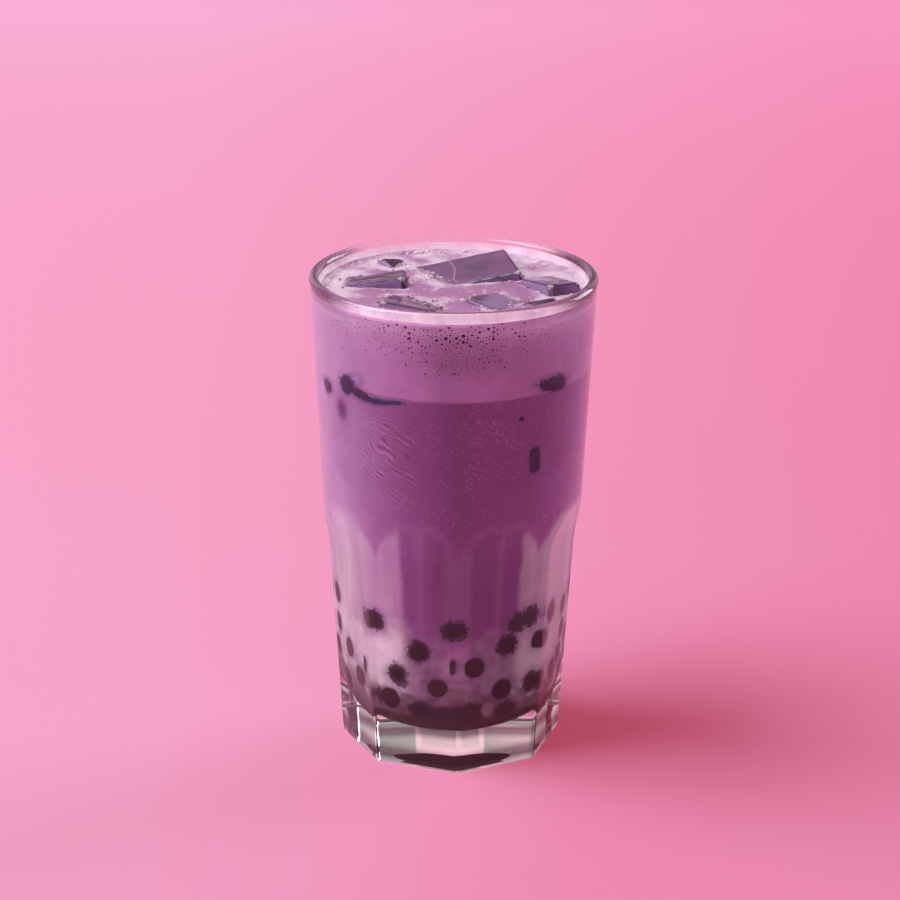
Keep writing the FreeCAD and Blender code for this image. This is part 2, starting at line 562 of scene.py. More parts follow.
@dataclass(frozen=True)
class Finish:
    """A material. Each kind of finish makes its own nodes."""

    name: str

    def make(self) -> bpy.types.Material:
        """Build the material.

        Returns:
            The material.
        """
        material = bpy.data.materials.new(self.name)
        material.use_nodes = True
        graph = Graph(material.node_tree)
        graph.add("ShaderNodeOutputMaterial", {"Surface": self.shade(graph)})
        return material

    def shade(self, graph: Graph) -> Socket:
        """Make the nodes and return the last shader."""
        raise NotImplementedError


@dataclass(frozen=True)
class DrinkFinish(Finish):
    """Milk or froth: its tint comes with the mesh, its fine marks from nodes."""

    roughness: float
    cloud_scale: float
    cloud_strength: float
    grain_height: float = 0.00004
    grain_scale: float = 900.0
    tatter_scale: float = 950.0
    curl: Colour = srgb(214, 150, 204)
    light_strand: Colour = srgb(222, 160, 208)
    dark_strand: Colour = srgb(92, 36, 84)
    veil: Colour = srgb(44, 18, 38)
    speck: Colour = srgb(70, 25, 62)

    def shade(self, graph: Graph) -> Socket:
        """Make the nodes and return the last shader.

        Args:
            graph: the material's tree.

        Returns:
            The last shader.
        """
        place = graph.place()
        marks = graph.marks()
        light = graph.rescale(graph.mottle(self.cloud_scale), 0, 1,
                              1 - self.cloud_strength, 1 + self.cloud_strength)
        cloudy = graph.add("ShaderNodeCombineColor", {0: light, 1: light, 2: light})
        colour = graph.tinted(cloudy.outputs[0])
        curls = graph.group(CURLS.tree, {"Place": place})
        curl_share = graph.times(curls.outputs[0], marks.outputs[CURL_MARK])
        colour = graph.mix(curl_share, colour, self.curl)
        strands = graph.group(STRANDS.tree, {"Place": place})
        for output, strength, strand in ((0, 0.42, self.light_strand), (1, 0.5, self.dark_strand)):
            share = graph.times(marks.outputs[STRAND_MARK], strands.outputs[output])
            colour = graph.mix(graph.times(share, strength), colour, strand)
        veil = graph.maths("ADD", graph.attribute("marks", "Alpha"), graph.rescale(
            graph.mottle(self.tatter_scale, 2.0), 0.0, 1.0, -0.15, 0.15))
        colour = graph.mix(graph.rescale(veil, 0.44, 0.62, 0.0, 0.92), colour, self.veil)
        specks = graph.group(SPECKS.tree, {"Place": place, "Share": marks.outputs[SPECK_MARK]})
        colour = graph.mix(specks.outputs[0], colour, self.speck)
        shader = graph.add("ShaderNodeBsdfPrincipled", {
            "Base Color": colour, "Roughness": self.roughness, "Specular IOR Level": 0.15,
            "Normal": graph.bump(graph.mottle(self.grain_scale), self.grain_height, 0.5)})
        return shader.outputs[0]


@dataclass(frozen=True)
class ClearFinish(Finish):
    """Glass, which lets the lamps' light through to what is behind it."""

    colour: Colour
    bend: float
    wave_scale: float
    wave_height: float

    def shade(self, graph: Graph) -> Socket:
        """Make the nodes and return the last shader.

        Args:
            graph: the material's tree.

        Returns:
            The last shader.
        """
        shader = graph.add("ShaderNodeBsdfPrincipled", {
            "Base Color": graph.tinted(self.colour), "Roughness": 0.0, "IOR": self.bend,
            "Transmission Weight": 1.0,
            "Normal": graph.bump(graph.mottle(self.wave_scale, 1.0), self.wave_height)})
        return graph.lit_through(shader, self.colour)


@dataclass(frozen=True)
class IceFinish(Finish):
    """Worn ice: dark and cloudy inside, paler on the sides that face the front by painted light,
    with painted highlights on its ridges and painted shade lines beside them.
    """

    deep: Colour
    cloud: Colour
    # Painted light on the sides that face the front, painted highlight on ridges, painted shade
    # beside them
    face: Colour
    ridge: Colour
    line: Colour
    clear: float
    bend: float = 1.31
    cloud_scale: float = 75.0
    wave_scale: float = 260.0
    wave_height: float = 0.0001

    def shade(self, graph: Graph) -> Socket:
        """Make the nodes and return the last shader.

        Args:
            graph: the material's tree.

        Returns:
            The last shader.
        """
        marks = graph.marks()
        cloudy = graph.rescale(graph.mottle(self.cloud_scale, 2.5), 0.45, 0.95)
        colour = graph.mix(cloudy, self.deep, self.cloud)
        for mark, marked in ((LIT_SIDE_AND_PALE_MARK, self.face), (SHADE_LINE_MARK, self.line),
                             (HIGHLIGHT_AND_CRACK_MARK, self.ridge)):
            colour = graph.mix(marks.outputs[mark], colour, marked)
        shader = graph.add("ShaderNodeBsdfPrincipled", {
            "Base Color": colour, "Roughness": 0.06, "IOR": self.bend,
            "Specular IOR Level": 0.12, "Transmission Weight": self.clear,
            "Normal": graph.bump(graph.mottle(self.wave_scale, 1.0), self.wave_height)})
        return graph.lit_through(shader, self.cloud)


@dataclass(frozen=True)
class GlossFinish(Finish):
    """Solid shiny thing with a faint cloudiness, such as a pearl or a bubble's skin."""

    colour: Colour
    second: Colour
    roughness: float
    scale: float
    bump_height: float
    specular: float = 0.2

    def shade(self, graph: Graph) -> Socket:
        """Make the nodes and return the last shader.

        Args:
            graph: the material's tree.

        Returns:
            The last shader.
        """
        clouds = graph.mottle(self.scale)
        shader = graph.add("ShaderNodeBsdfPrincipled", {
            "Base Color": graph.tinted(graph.mix(clouds, self.colour, self.second)),
            "Roughness": self.roughness, "Specular IOR Level": self.specular,
            "Normal": graph.bump(clouds, self.bump_height)})
        return shader.outputs[0]


@dataclass(frozen=True)
class StageFinish(Finish):
    """Matt paper of the floor, deeper to the right and the front by painted shade, and brighter at
    the back by a painted glow.

    Camera and glass rays see its own colour, other light a paler one.
    """

    colour: Colour
    right_shade_colour: Colour
    bounce: Colour
    glow: Colour
    back_glow: Colour
    back_right_glow: Colour
    glow_share: float
    back_share: float

    def shade(self, graph: Graph) -> Socket:
        """Make the nodes and return the last shader.

        Args:
            graph: the material's tree.

        Returns:
            The last shader.
        """
        path = graph.add("ShaderNodeLightPath")
        rays = graph.maths("MAXIMUM", path.outputs["Is Camera Ray"],
                           graph.maths("MAXIMUM", path.outputs["Is Glossy Ray"],
                                       path.outputs["Is Transmission Ray"]))
        parts = graph.add("ShaderNodeSeparateXYZ", {"Vector": graph.place()})
        back = graph.rescale(parts.outputs[1], 0.0, 1.2)
        spread = graph.rescale(parts.outputs[1], 0.0, 2.0, 0.14, 0.35)
        # Painted shade: the paper deepens to the right, more near the front
        right = graph.rescale(graph.maths("DIVIDE", parts.outputs[0], spread), -0.7, 1.1)
        nearer = graph.rescale(parts.outputs[1], 0.15, -0.05, 1.0, 1.9)
        right = graph.times(right, nearer)
        right = graph.rescale(right, 0.0, 1.0)
        seen = graph.mix(right, self.colour, self.right_shade_colour)
        shader = graph.add("ShaderNodeBsdfDiffuse", {"Color": graph.mix(rays, self.bounce, seen)})
        # Painted light: a glow for camera and glass rays, strongest at the back
        lit = graph.mix(back, self.glow, graph.mix(right, self.back_glow, self.back_right_glow))
        glow = graph.add("ShaderNodeEmission", {"Color": lit, "Strength": 1.0})
        share = graph.times(rays, graph.rescale(
            back, 0.0, 1.0, self.glow_share, self.back_share))
        return graph.mix_shaders(share, shader, glow)


@dataclass(frozen=True)
class FilmFinish(Finish):
    """Thin uneven film that milk leaves on glass. Its glow stands for the light it scatters."""

    colour: Colour
    share: float
    glow: float
    cloud_scale: float = 150.0
    unevenness: Pair = (0.45, 1.3)

    def shade(self, graph: Graph) -> Socket:
        """Make the nodes and return the last shader.

        Args:
            graph: the material's tree.

        Returns:
            The last shader.
        """
        thin, thick = (self.share * part for part in self.unevenness)
        uneven = graph.rescale(graph.mottle(self.cloud_scale), 0, 1, thin, thick)
        alpha = graph.times(uneven, graph.marks().outputs[FILM_MARK])
        shader = graph.add("ShaderNodeBsdfPrincipled", {
            "Base Color": self.colour, "Roughness": 0.6, "Specular IOR Level": 0.1,
            "Emission Color": self.colour, "Emission Strength": self.glow, "Alpha": alpha})
        return shader.outputs[0]


# ---- tumbler


@dataclass(frozen=True)
class TumblerShape:
    """Sizes of the tumbler, as the solid model has them."""

    height: float
    rim_radius: float
    lip_wall: float = 3.2 * MM
    lip_step: float = 0.3 * MM
    lip_height: float = 2.8 * MM
    body_taper: float = 0.048
    base_thickness: float = 10.5 * MM
    floor_wall: float = 4.28 * MM
    floor_corner: float = 14.0 * MM
    foot_rounding: float = 1.2 * MM
    facets: int = 8
    first_corner: float = -86.4
    facet_depth: float = 4.34 * MM
    facet_taper: float = 0.0547
    facet_straight: float = 64.0 * MM
    facet_runout: float = 49.0 * MM
    corner_blend: float = 1.15 * MM
    arch_blend: float = 0.8 * MM
    punt_radius: float = 25.0 * MM
    punt_depth: float = 0.5 * MM

    @property
    def lip_centre(self) -> float:
        """Height of the middle of the rounded lip."""
        return self.height - self.lip_wall / 2

    @property
    def facet_step(self) -> float:
        """Angle between neighbouring corners, in radians."""
        return 2 * math.pi / self.facets

    @property
    def cavity_taper(self) -> float:
        """Radius that the cavity gains with height."""
        floor_radius = self.facet(self.base_thickness) - self.floor_wall
        return ((self.rim_radius - self.lip_wall - floor_radius)
                / (self.lip_centre - self.base_thickness))

    def cone(self, height: Values) -> Values:
        """Radius of the turned body outside."""
        below = self.height - self.lip_height - height
        return self.rim_radius - self.lip_step - self.body_taper * below

    def facet(self, height: Values) -> Array:
        """Distance of a facet from the axis, with its run-out above the flat.

        Args:
            height: one height or many.

        Returns:
            The distances.
        """
        foot = self.cone(0.0) - self.facet_depth
        slope = math.atan(self.facet_taper)
        centre = (foot + self.facet_taper * self.facet_straight
                  + self.facet_runout * math.cos(slope))
        centre_height = self.facet_straight - self.facet_runout * math.sin(slope)
        rise = np.clip(height - centre_height, 0, self.facet_runout)
        runout = centre - np.sqrt(self.facet_runout ** 2 - rise ** 2)
        flat = foot + self.facet_taper * height
        return np.where(height > self.facet_straight, runout, flat)

    def facet_turn(self, bearing: Array) -> Array:
        """How far bearings in radians lie from the middle of their facet."""
        step = self.facet_step
        return np.mod(bearing - math.radians(self.first_corner), step) - step / 2

    def outside(self, bearing: Array, height: Values) -> Array:
        """Distance of the outer surface from the axis.

        Args:
            bearing: bearings in radians.
            height: one height, or one for each bearing.

        Returns:
            Distances, with the corners and arches softly rounded.
        """
        step, turn = self.facet_step, self.facet_turn(bearing)
        flat = self.facet(height)
        near = flat / np.cos(turn)
        far = flat / np.cos(step - np.abs(turn))
        return smooth_min(smooth_min(near, far, self.corner_blend), self.cone(height),
                          self.arch_blend)

    def plain_facet(self, bearing: Array, height: Array) -> Array:
        """Distance from the axis of the nearest facet's own surface, at bearings in radians."""
        return self.facet(height) / np.cos(self.facet_turn(bearing))

    def cavity(self, height: Values) -> Array:
        """Radius of the cavity, with its rounded floor corner.

        Args:
            height: one height or many.

        Returns:
            The radii.
        """
        taper = self.cavity_taper
        wall = self.rim_radius - self.lip_wall - taper * (self.lip_centre - height)
        slope = math.atan(taper)
        setback = self.floor_corner * math.tan((math.pi / 2 - slope) / 2)
        floor = self.rim_radius - self.lip_wall - taper * (self.lip_centre - self.base_thickness)
        centre = floor - setback
        centre_height = self.base_thickness + self.floor_corner
        arc_top = centre_height - self.floor_corner * math.sin(slope)
        drop = np.clip(centre_height - height, 0, self.floor_corner)
        arc = centre + np.sqrt(self.floor_corner ** 2 - drop ** 2)
        return np.where(height < arc_top, arc, wall)

    def cavity_profile(self, top: float, steps: int,
                       arc_steps: int) -> tuple[Array, Array]:
        """Radii and heights of the cavity from the edge of its flat floor up to a height.

        Args:
            top: the last height.
            steps: rings up the wall.
            arc_steps: rings round the floor's corner.

        Returns:
            Arrays of radii and heights.
        """
        slope = math.atan(self.cavity_taper)
        centre_height = self.base_thickness + self.floor_corner
        angles = np.linspace(0, math.pi / 2 - slope, arc_steps)
        arc = centre_height - self.floor_corner * np.cos(angles)
        heights = np.concatenate([arc, np.linspace(arc[-1], top, steps)[1:]])
        return self.cavity(heights), heights


@dataclass
class Tumbler:
    """The clear glass tumbler."""

    shape: TumblerShape
    per_facet: int = 40
    finish: ClearFinish = ClearFinish("clear glass", (0.985, 0.99, 0.985), bend=1.5,
                                      wave_scale=60.0, wave_height=0.000015)
    # Painted shade at the left and right ends of the lip, and a painted shadow as a dark band low
    # in the foot
    lip_painted_shade: Colour = (0.14, 0.07, 0.12)
    lip_depth: Pair = (-5 * MM, -3 * MM)
    lip_ends: Pair = (0.6, 0.88)
    foot_painted_shadow: Colour = (0.12, 0.05, 0.08)
    foot_start: Pair = (0.8 * MM, 2.4 * MM)
    foot_end: Pair = (8 * MM, 5 * MM)

    def __post_init__(self) -> None:
        """Place the points of every ring, closer together near the corners."""
        shape = self.shape
        share = np.linspace(-1, 1, self.per_facet, endpoint=False)
        turn = (0.4 * share + 0.6 * np.sin(share * math.pi / 2)) * shape.facet_step / 2
        start = math.radians(shape.first_corner) + shape.facet_step / 2
        self.bearing = np.concatenate([start + turn + index * shape.facet_step
                                       for index in range(shape.facets)])

    def foot_rings(self) -> list[tuple[Values, float]]:
        """Radii and heights under the foot, from the hollow to the rounded edge.

        Returns:
            Radius, or one for each bearing, and height of each ring.
        """
        shape = self.shape
        sphere = (shape.punt_radius ** 2 + shape.punt_depth ** 2) / (2 * shape.punt_depth)
        rings: list[tuple[Values, float]] = []
        for radius in np.linspace(0.08, 1, 12) * shape.punt_radius:
            drop = sphere - math.sqrt(sphere ** 2 - radius ** 2)
            rings.append((radius, shape.punt_depth - drop))
        edge = shape.outside(self.bearing, shape.foot_rounding) - shape.foot_rounding
        for share in (0.15, 0.6, 1.0):
            rings.append((shape.punt_radius + (edge - shape.punt_radius) * share, 0.0))
        for angle in np.linspace(-math.pi / 2, 0, 7)[1:]:
            rings.append((edge + shape.foot_rounding * math.cos(angle),
                          shape.foot_rounding * (1 + math.sin(angle))))
        return rings

    def wall_rings(self) -> list[tuple[Values, float]]:
        """Radii and heights up the outside, over the lip and down the inside.

        Returns:
            Radius, or one for each bearing, and height of each ring.
        """
        shape = self.shape
        under_lip = shape.height - shape.lip_height
        heights = np.concatenate([np.linspace(3 * MM, 62 * MM, 24),
                                  np.linspace(62.5 * MM, 88 * MM, 50),
                                  np.linspace(90 * MM, under_lip, 22)])
        rings = [(shape.outside(self.bearing, height), height) for height in heights]
        roundness = shape.lip_wall / 2
        middle = shape.rim_radius - roundness
        for angle in np.linspace(0, math.pi, 22):
            rings.append((middle + roundness * math.cos(angle),
                          shape.lip_centre + roundness * math.sin(angle)))
        radii, levels = shape.cavity_profile(shape.lip_centre, 30, 20)
        rings.extend(zip(radii[::-1][1:], levels[::-1][1:]))
        rings.extend((radii[0] * share, shape.base_thickness) for share in (0.75, 0.5, 0.25))
        return rings

    def build(self) -> Piece:
        """Make the glass and let it stand for its solid.

        Returns:
            The glass.
        """
        rings = self.foot_rings() + self.wall_rings()
        places = capped((0, 0, self.shape.punt_depth),
                        np.concatenate([polar(radius, self.bearing, height)
                                        for radius, height in rings]),
                        (0, 0, self.shape.base_thickness))
        height = places[:, 2]
        # Painted shade on the lip's left and right ends
        lip = smooth_step(*self.lip_depth, height - self.shape.height)
        lip = lip * smooth_step(*self.lip_ends, np.abs(places[:, 0]) / self.shape.rim_radius)
        # Painted shadow: a dark band low in the foot, where the floor's shadow shows through the
        # glass
        foot = smooth_step(*self.foot_start, height) * smooth_step(*self.foot_end, height)
        plain = np.ones(3)
        parts = MeshParts()
        parts.add(places, ring_faces(len(rings), len(self.bearing)),
                  towards(plain, self.lip_painted_shade, lip) * towards(plain, self.foot_painted_shadow, foot))
        glass = parts.build("tumbler_glass", self.finish)
        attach(glass, BODY)
        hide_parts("glass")
        return glass


# ---- what lies against the wall


class Blur(Enum):
    """How sharply a sunken thing shows through the drink over it."""

    CRISP = 0.7 * MM
    SOFT = 1.2 * MM


@dataclass(frozen=True)
class Sunken:
    """A rounded thing in the drink near the wall.

    Its bearing is from the front towards the right, in degrees. Its inset is how far its
    middle lies inside the wall.
    """

    bearing: float
    height: float
    half_width: float
    half_height: float
    inset: float
    colour: Colour
    blur: Blur = Blur.CRISP
    tilt: float = 0.0
    ragged: float = 0.3 * MM
    power: float = 2.0
    veiled: bool = False
    halo: float = 0.62

    def away(self, shape: TumblerShape, points: Array) -> Array:
        """How far points of the wall lie from this thing's middle, 1 at its outline."""
        along, rise = self.offset(shape, points)
        return ((np.abs(along) / self.half_width) ** self.power
                + (np.abs(rise) / self.half_height) ** self.power) ** (1 / self.power)

    def offset(self, shape: TumblerShape, points: Array) -> tuple[Array, Array]:
        """Places of points near the wall, along it and up it from this thing's middle.

        Args:
            shape: the tumbler.
            points: array of (n, 3) places.

        Returns:
            Distances along the wall and up it.
        """
        turn = np.radians(turned(front_bearing(points), self.bearing))
        along = turn * shape.cavity(self.height)
        rise = points[:, 2] - self.height
        lean = math.radians(self.tilt)
        return (along * math.cos(lean) + rise * math.sin(lean),
                rise * math.cos(lean) - along * math.sin(lean))

    def seen(self, shape: TumblerShape, points: Array,
             noise: ValueNoise) -> tuple[Array, Array]:
        """How this thing shows at points of the wall.

        Args:
            shape: the tumbler.
            points: array of (n, 3) places on the wall.
            noise: what roughens its edge.

        Returns:
            The share by which it shows through the drink over it, and that of its soft halo.
        """
        away = self.away(shape, points)
        near = away < 2.0
        share, halo = np.zeros(len(points)), np.zeros(len(points))
        if near.any():
            size = min(self.half_width, self.half_height)
            rough = away[near] + noise.layered(points[near], 1.3 * MM) * self.ragged / size
            inside = np.sqrt(np.clip(1 - rough ** 2, 0, None)) * size
            over = np.clip(self.inset - inside, 0, None)
            share[near] = np.exp(-over / self.blur.value) * smooth_step(1.35, 0.95, rough)
            halo[near] = (np.exp(-np.clip(rough - 0.8, 0, None) * size / (1.7 * MM))
                          * smooth_step(2.0, 1.5, away[near]))
        return share, halo


@dataclass
class WallThings:
    """All the sunken things that show at one layer's wall."""

    shape: TumblerShape
    things: Sequence[Sunken]
    seed: int
    lumpiness: float = 0.05
    lump_size: float = 3 * MM

    def __post_init__(self) -> None:
        """Make the noise that roughens the things' edges."""
        self.noise = ValueNoise(self.seed)

    def paint(self, points: Array, tint: Array, halo: Colour) -> Array:
        """Tint with the things and their soft halos laid over it.

        Args:
            points: array of (n, 3) places on the wall.
            tint: array of (n, 3) colours of the plain drink.
            halo: colour of the drink just round a thing.

        Returns:
            Array of (n, 3) colours.
        """
        for thing in self.things:
            share, glow = thing.seen(self.shape, points, self.noise)
            tint = towards(towards(tint, halo, glow * thing.halo), thing.colour, share)
        return tint

    def veil(self, points: Array) -> Array:
        """Value that is 0.5 at the tattered outline of the veiled things and more inside it.

        Args:
            points: array of (n, 3) places.

        Returns:
            Array of n values.
        """
        value = np.zeros(len(points))
        for thing in self.things:
            if thing.veiled:
                value = np.maximum(value, 1.0 - 0.5 * thing.away(self.shape, points))
        return value

    def build(self, name: str, finish: Finish, reach: float, rings: int,
              around: int) -> Piece:
        """Make the things as one joined piece of balls pressed flat against the wall.

        Args:
            name: name of the piece.
            finish: finish of the piece.
            reach: how far the flat sides go into the wall.
            rings: rings of each ball.
            around: points round each ball.

        Returns:
            The piece.
        """
        parts = MeshParts()
        unit, faces = rounded(Round.BALL, rings, around)
        for thing in self.things:
            bearing = math.radians(thing.bearing)
            outward = np.array([math.sin(bearing), -math.cos(bearing), 0])
            side = np.array([math.cos(bearing), math.sin(bearing), 0])
            lean = math.radians(thing.tilt)
            across = side * math.cos(lean) + np.array([0, 0, math.sin(lean)])
            up = np.array([0, 0, math.cos(lean)]) - side * math.sin(lean)
            size = min(thing.half_width, thing.half_height)
            distance = self.shape.cavity(thing.height) - thing.inset
            centre = outward * distance + np.array([0, 0, thing.height])
            flat = np.hypot(unit[:, 0], unit[:, 2]) + 1e-9
            blunt = ((np.abs(unit[:, 0]) / flat) ** thing.power
                     + (np.abs(unit[:, 2]) / flat) ** thing.power) ** (-1 / thing.power)
            points = (centre + (unit[:, 0] * blunt)[:, None] * across * thing.half_width
                      + unit[:, 1:2] * outward * size
                      + (unit[:, 2] * blunt)[:, None] * up * thing.half_height)
            lumps = self.lumpiness * self.noise.at(points, self.lump_size)
            points = points + (points - centre) * lumps[:, None]
            limit = self.shape.cavity(points[:, 2]) + reach
            radius = np.hypot(points[:, 0], points[:, 1])
            scale = np.minimum(1, limit / np.maximum(radius, MM))
            points[:, :2] *= scale[:, None]
            parts.add(points, faces, np.tile(thing.colour, (len(points), 1)))
        return parts.build(name, finish)


def sunk(bearing: float, height: float, half_width: float, half_height: float, inset: float,
         colour: Colour, blur: Blur = Blur.CRISP, ragged: float = 0.3,
         **more: float) -> Sunken:
    """Sunken thing from its bearing in degrees and its lengths in millimetres."""
    return Sunken(bearing, height * MM, half_width * MM, half_height * MM, inset * MM, colour,
                  blur, ragged=ragged * MM, **more)


MILK_DREGS = srgb(88, 58, 72)
PEARL_DARK = srgb(38, 10, 20)
PEARL_BROWN = srgb(58, 24, 28)
ICE_DARK = srgb(44, 24, 62)
ICE_BLUE = srgb(46, 34, 76)
# Colour of a painted highlight on ice
PAINTED_ICE_HIGHLIGHT = srgb(150, 126, 190)
ICE_FAINT = srgb(98, 42, 98)
LUMP = srgb(134, 100, 120)
LUMP_RED = srgb(112, 66, 82)
# Dark heaps at the bottom, which are pearls merged with their painted shade, and pale lumps,
# painted on the milk only
PATCHES = (
    sunk(-17, 18.5, 4.3, 3.9, 0.6, PEARL_DARK, Blur.SOFT, 1, halo=0.3),
    sunk(9.5, 18.5, 5.2, 4.0, 0.6, PEARL_DARK, Blur.SOFT, 1, halo=0.3),
    sunk(34, 18, 3.2, 3.0, 1.2, MILK_DREGS, Blur.SOFT, 1, halo=0.3),
    sunk(2, 35.4, 0.8, 2.4, 0.1, PEARL_DARK, Blur.SOFT, halo=0.3),
    sunk(-53, 30.5, 1.1, 2.6, 0.1, PEARL_DARK, Blur.SOFT, halo=0.3),
    sunk(-46, 22, 0.8, 2.6, 0.1, PEARL_DARK, Blur.SOFT, halo=0.3),
    sunk(-5, 22.6, 1.7, 1.7, 0.2, LUMP, ragged=0.8, halo=0),
    sunk(-4, 17.6, 2.2, 1.2, 0.5, LUMP, ragged=0.8, halo=0),
    sunk(-29, 17.8, 1.9, 1.4, 0.4, LUMP_RED, ragged=0.8, halo=0),
    sunk(-29, 28, 2.0, 1.6, 0.3, LUMP_RED, ragged=1.1, halo=0),
    sunk(21, 19.4, 2.0, 2.6, 1.0, LUMP, ragged=1, halo=0),
    sunk(3, 26.5, 2.2, 2.0, 0.7, LUMP, ragged=1, halo=0))


@dataclass
class Pearls:
    """Chewy pearls in the lower part of the drink."""

    shape: TumblerShape
    diameter: float = 7.4 * MM
    inset: float = 1.9 * MM
    reach: float = 0.25 * MM
    gap: float = 0.75
    tries: int = 1500
    seed: int = 11
    finish: GlossFinish = GlossFinish("pearl skin", (1, 1, 1), (0.7, 0.6, 0.6), roughness=0.4,
                                      scale=350.0, bump_height=0.00003, specular=0.1)
    # Bearing from the front, height, and how much deeper in the drink than the nearest ones
    front: tuple[Triple, ...] = (
        (-45, 48, 1.3), (1.5, 48, 1.2), (-18, 40, 0.8), (32, 41, 0.8), (55, 40, 0.3),
        (12, 35, 0), (-32, 31, 1.1), (-38, 22, 0), (-7, 28, 0), (30, 26, 0), (52, 26, 0.6),
        (-17, 19, 0.5), (9, 19.5, 0.5), (-61, 25, 0), (-75, 32, 0), (75, 25, 0.2),
        (-83, 20, 0.2), (38, 48, 1.9), (47, 49, 2.0), (34, 18, 1.4), (-3.5, 18, 1.6),
        (64, 47, 0.9))

    def spread(self) -> list[Triple]:
        """Places of the pearls round the sides and the back, none on another.

        Returns:
            Bearing, height and extra depth of each pearl, in degrees and mm.
        """
        pick = np.random.default_rng(self.seed)
        placed = list(self.front)
        low, high = self.shape.base_thickness + 7 * MM, 50 * MM
        for _ in range(self.tries):
            bearing = pick.uniform(85, 272)
            height = low + (high - low) * pick.uniform(0, 1) ** 1.25
            deeper = pick.choice([0, 0, 0.2, 0.6, 1.4])
            radius = self.shape.cavity(height)
            apart = min(math.hypot(math.radians(turned(bearing, other)) * radius,
                                   height - level * MM) for other, level, _ in placed)
            if apart > self.diameter * (1 + self.gap * pick.uniform(0, 1)):
                placed.append((bearing, height / MM, deeper))
        return placed

    def sunken(self) -> list[Sunken]:
        """Every pearl, with small differences in size and colour.

        Returns:
            The pearls as sunken things.
        """
        pick = np.random.default_rng(self.seed + 1)
        things = []
        for bearing, level, deeper in self.spread():
            half = self.diameter / 2 * pick.uniform(0.94, 1.05)
            share = pick.uniform(0, 1) ** 2
            colour = tuple(dark + (brown - dark) * share
                           for dark, brown in zip(PEARL_DARK, PEARL_BROWN))
            things.append(Sunken(bearing, level * MM, half, half * pick.uniform(0.96, 1.04),
                                 self.inset + deeper * MM, colour,
                                 Blur.SOFT if deeper > 0.7 else Blur.CRISP,
                                 ragged=(0.45 + 0.6 * min(deeper, 1)) * MM,
                                 veiled=deeper >= 0.5,
                                 halo=Sunken.halo * float(smooth_step(19, 26, level))))
        return things

    def build(self, things: WallThings) -> Piece:
        """Make the pearls as one joined piece.

        Args:
            things: the pearls.

        Returns:
            The piece.
        """
        pearls = things.build("pearls", self.finish, self.reach, rings=22, around=36)
        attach(pearls, BODY)
        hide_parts("pearl_bed")
        return pearls


SUNKEN_ICE = (
    sunk(-51, 124.6, 3.3, 3.2, 1.9, ICE_DARK, ragged=0.8, veiled=True),
    # A painted highlight: a soft lilac patch above the dark bit of ice
    sunk(-44.5, 127.2, 1.8, 1.5, 1.5, PAINTED_ICE_HIGHLIGHT, Blur.SOFT, 0.8),
    sunk(-43, 122.8, 4.6, 1.5, 0.8, ICE_DARK, tilt=-14, ragged=0.7, veiled=True),
    sunk(-34, 121.9, 5.4, 1.0, 0.5, ICE_BLUE, tilt=2, ragged=0.5),
    sunk(-25, 122.5, 3.0, 0.6, 0.4, ICE_BLUE, tilt=5),
    sunk(-67, 121.0, 2.6, 2.4, 1.9, ICE_DARK, ragged=0.9, veiled=True),
    sunk(-56, 115.8, 2.6, 3.6, 2.4, ICE_FAINT, Blur.SOFT),
    sunk(47.5, 125.7, 5.8, 2.1, 1.0, ICE_DARK, tilt=-10, ragged=0.9, veiled=True),
    sunk(50, 126.7, 3.6, 1.6, 1.0, ICE_BLUE, tilt=-14, ragged=0.9),
    sunk(39.7, 102.6, 1.9, 4.3, 0.7, ICE_DARK, tilt=6, ragged=0.15, power=3.5),
    sunk(31, 116.9, 0.8, 0.7, 0.2, ICE_DARK),
    sunk(128, 121.5, 6.0, 2.4, 1.1, ICE_DARK, tilt=-5),
    sunk(196, 124.5, 4.0, 3.0, 1.5, ICE_DARK),
    sunk(207, 122.4, 6.4, 1.3, 0.5, ICE_BLUE, tilt=-8),
    sunk(158, 108.0, 2.0, 4.2, 0.8, ICE_DARK, tilt=12))


# ---- the drink

# Colours of the drink itself, before the lamps, and of the painted sheen and shade laid over it
FROTH_WALL = srgb(188, 124, 184)
FROTH_TOP = srgb(188, 130, 176)
FROTH_PALE = srgb(242, 210, 232)
MILK_DEEP = srgb(148, 76, 143)
MILK_PALE = srgb(214, 196, 208)
MILK_GREY = srgb(146, 130, 142)
# Pale wash of painted sheen
PAINTED_SHEEN = srgb(206, 174, 212)
PEARL_HALO = srgb(108, 78, 128)
ICE_HALO = srgb(130, 78, 140)
# Painted shade in the hollows under the ice
PAINTED_POCKET_SHADE = srgb(58, 24, 60)
# Painted shade along the blocks' edges on the froth
PAINTED_ICE_EDGE_SHADE = srgb(84, 36, 82)
DREGS = srgb(40, 14, 24)


@dataclass(frozen=True)
class Streak:
    """Upright stretch of the milk behind a facet: brighter or darker than the rest by painted
    light and shade that the facets cast, and paler, partly by painted light.

    Bearings are from the front towards the right, in degrees.
    """

    start: float
    end: float
    gain: float
    pale: float
    grey: float = 0.0
    soft: float = 2.3

    def cover(self, turn: Array) -> Array:
        """Share from 0 to 1 by which bearings lie in this stretch.

        Args:
            turn: bearings in degrees.

        Returns:
            Array of shares.
        """
        middle = (self.start + self.end) / 2
        half = (self.end - self.start) / 2
        return smooth_step(half + self.soft, half - self.soft, np.abs(turned(turn, middle)))


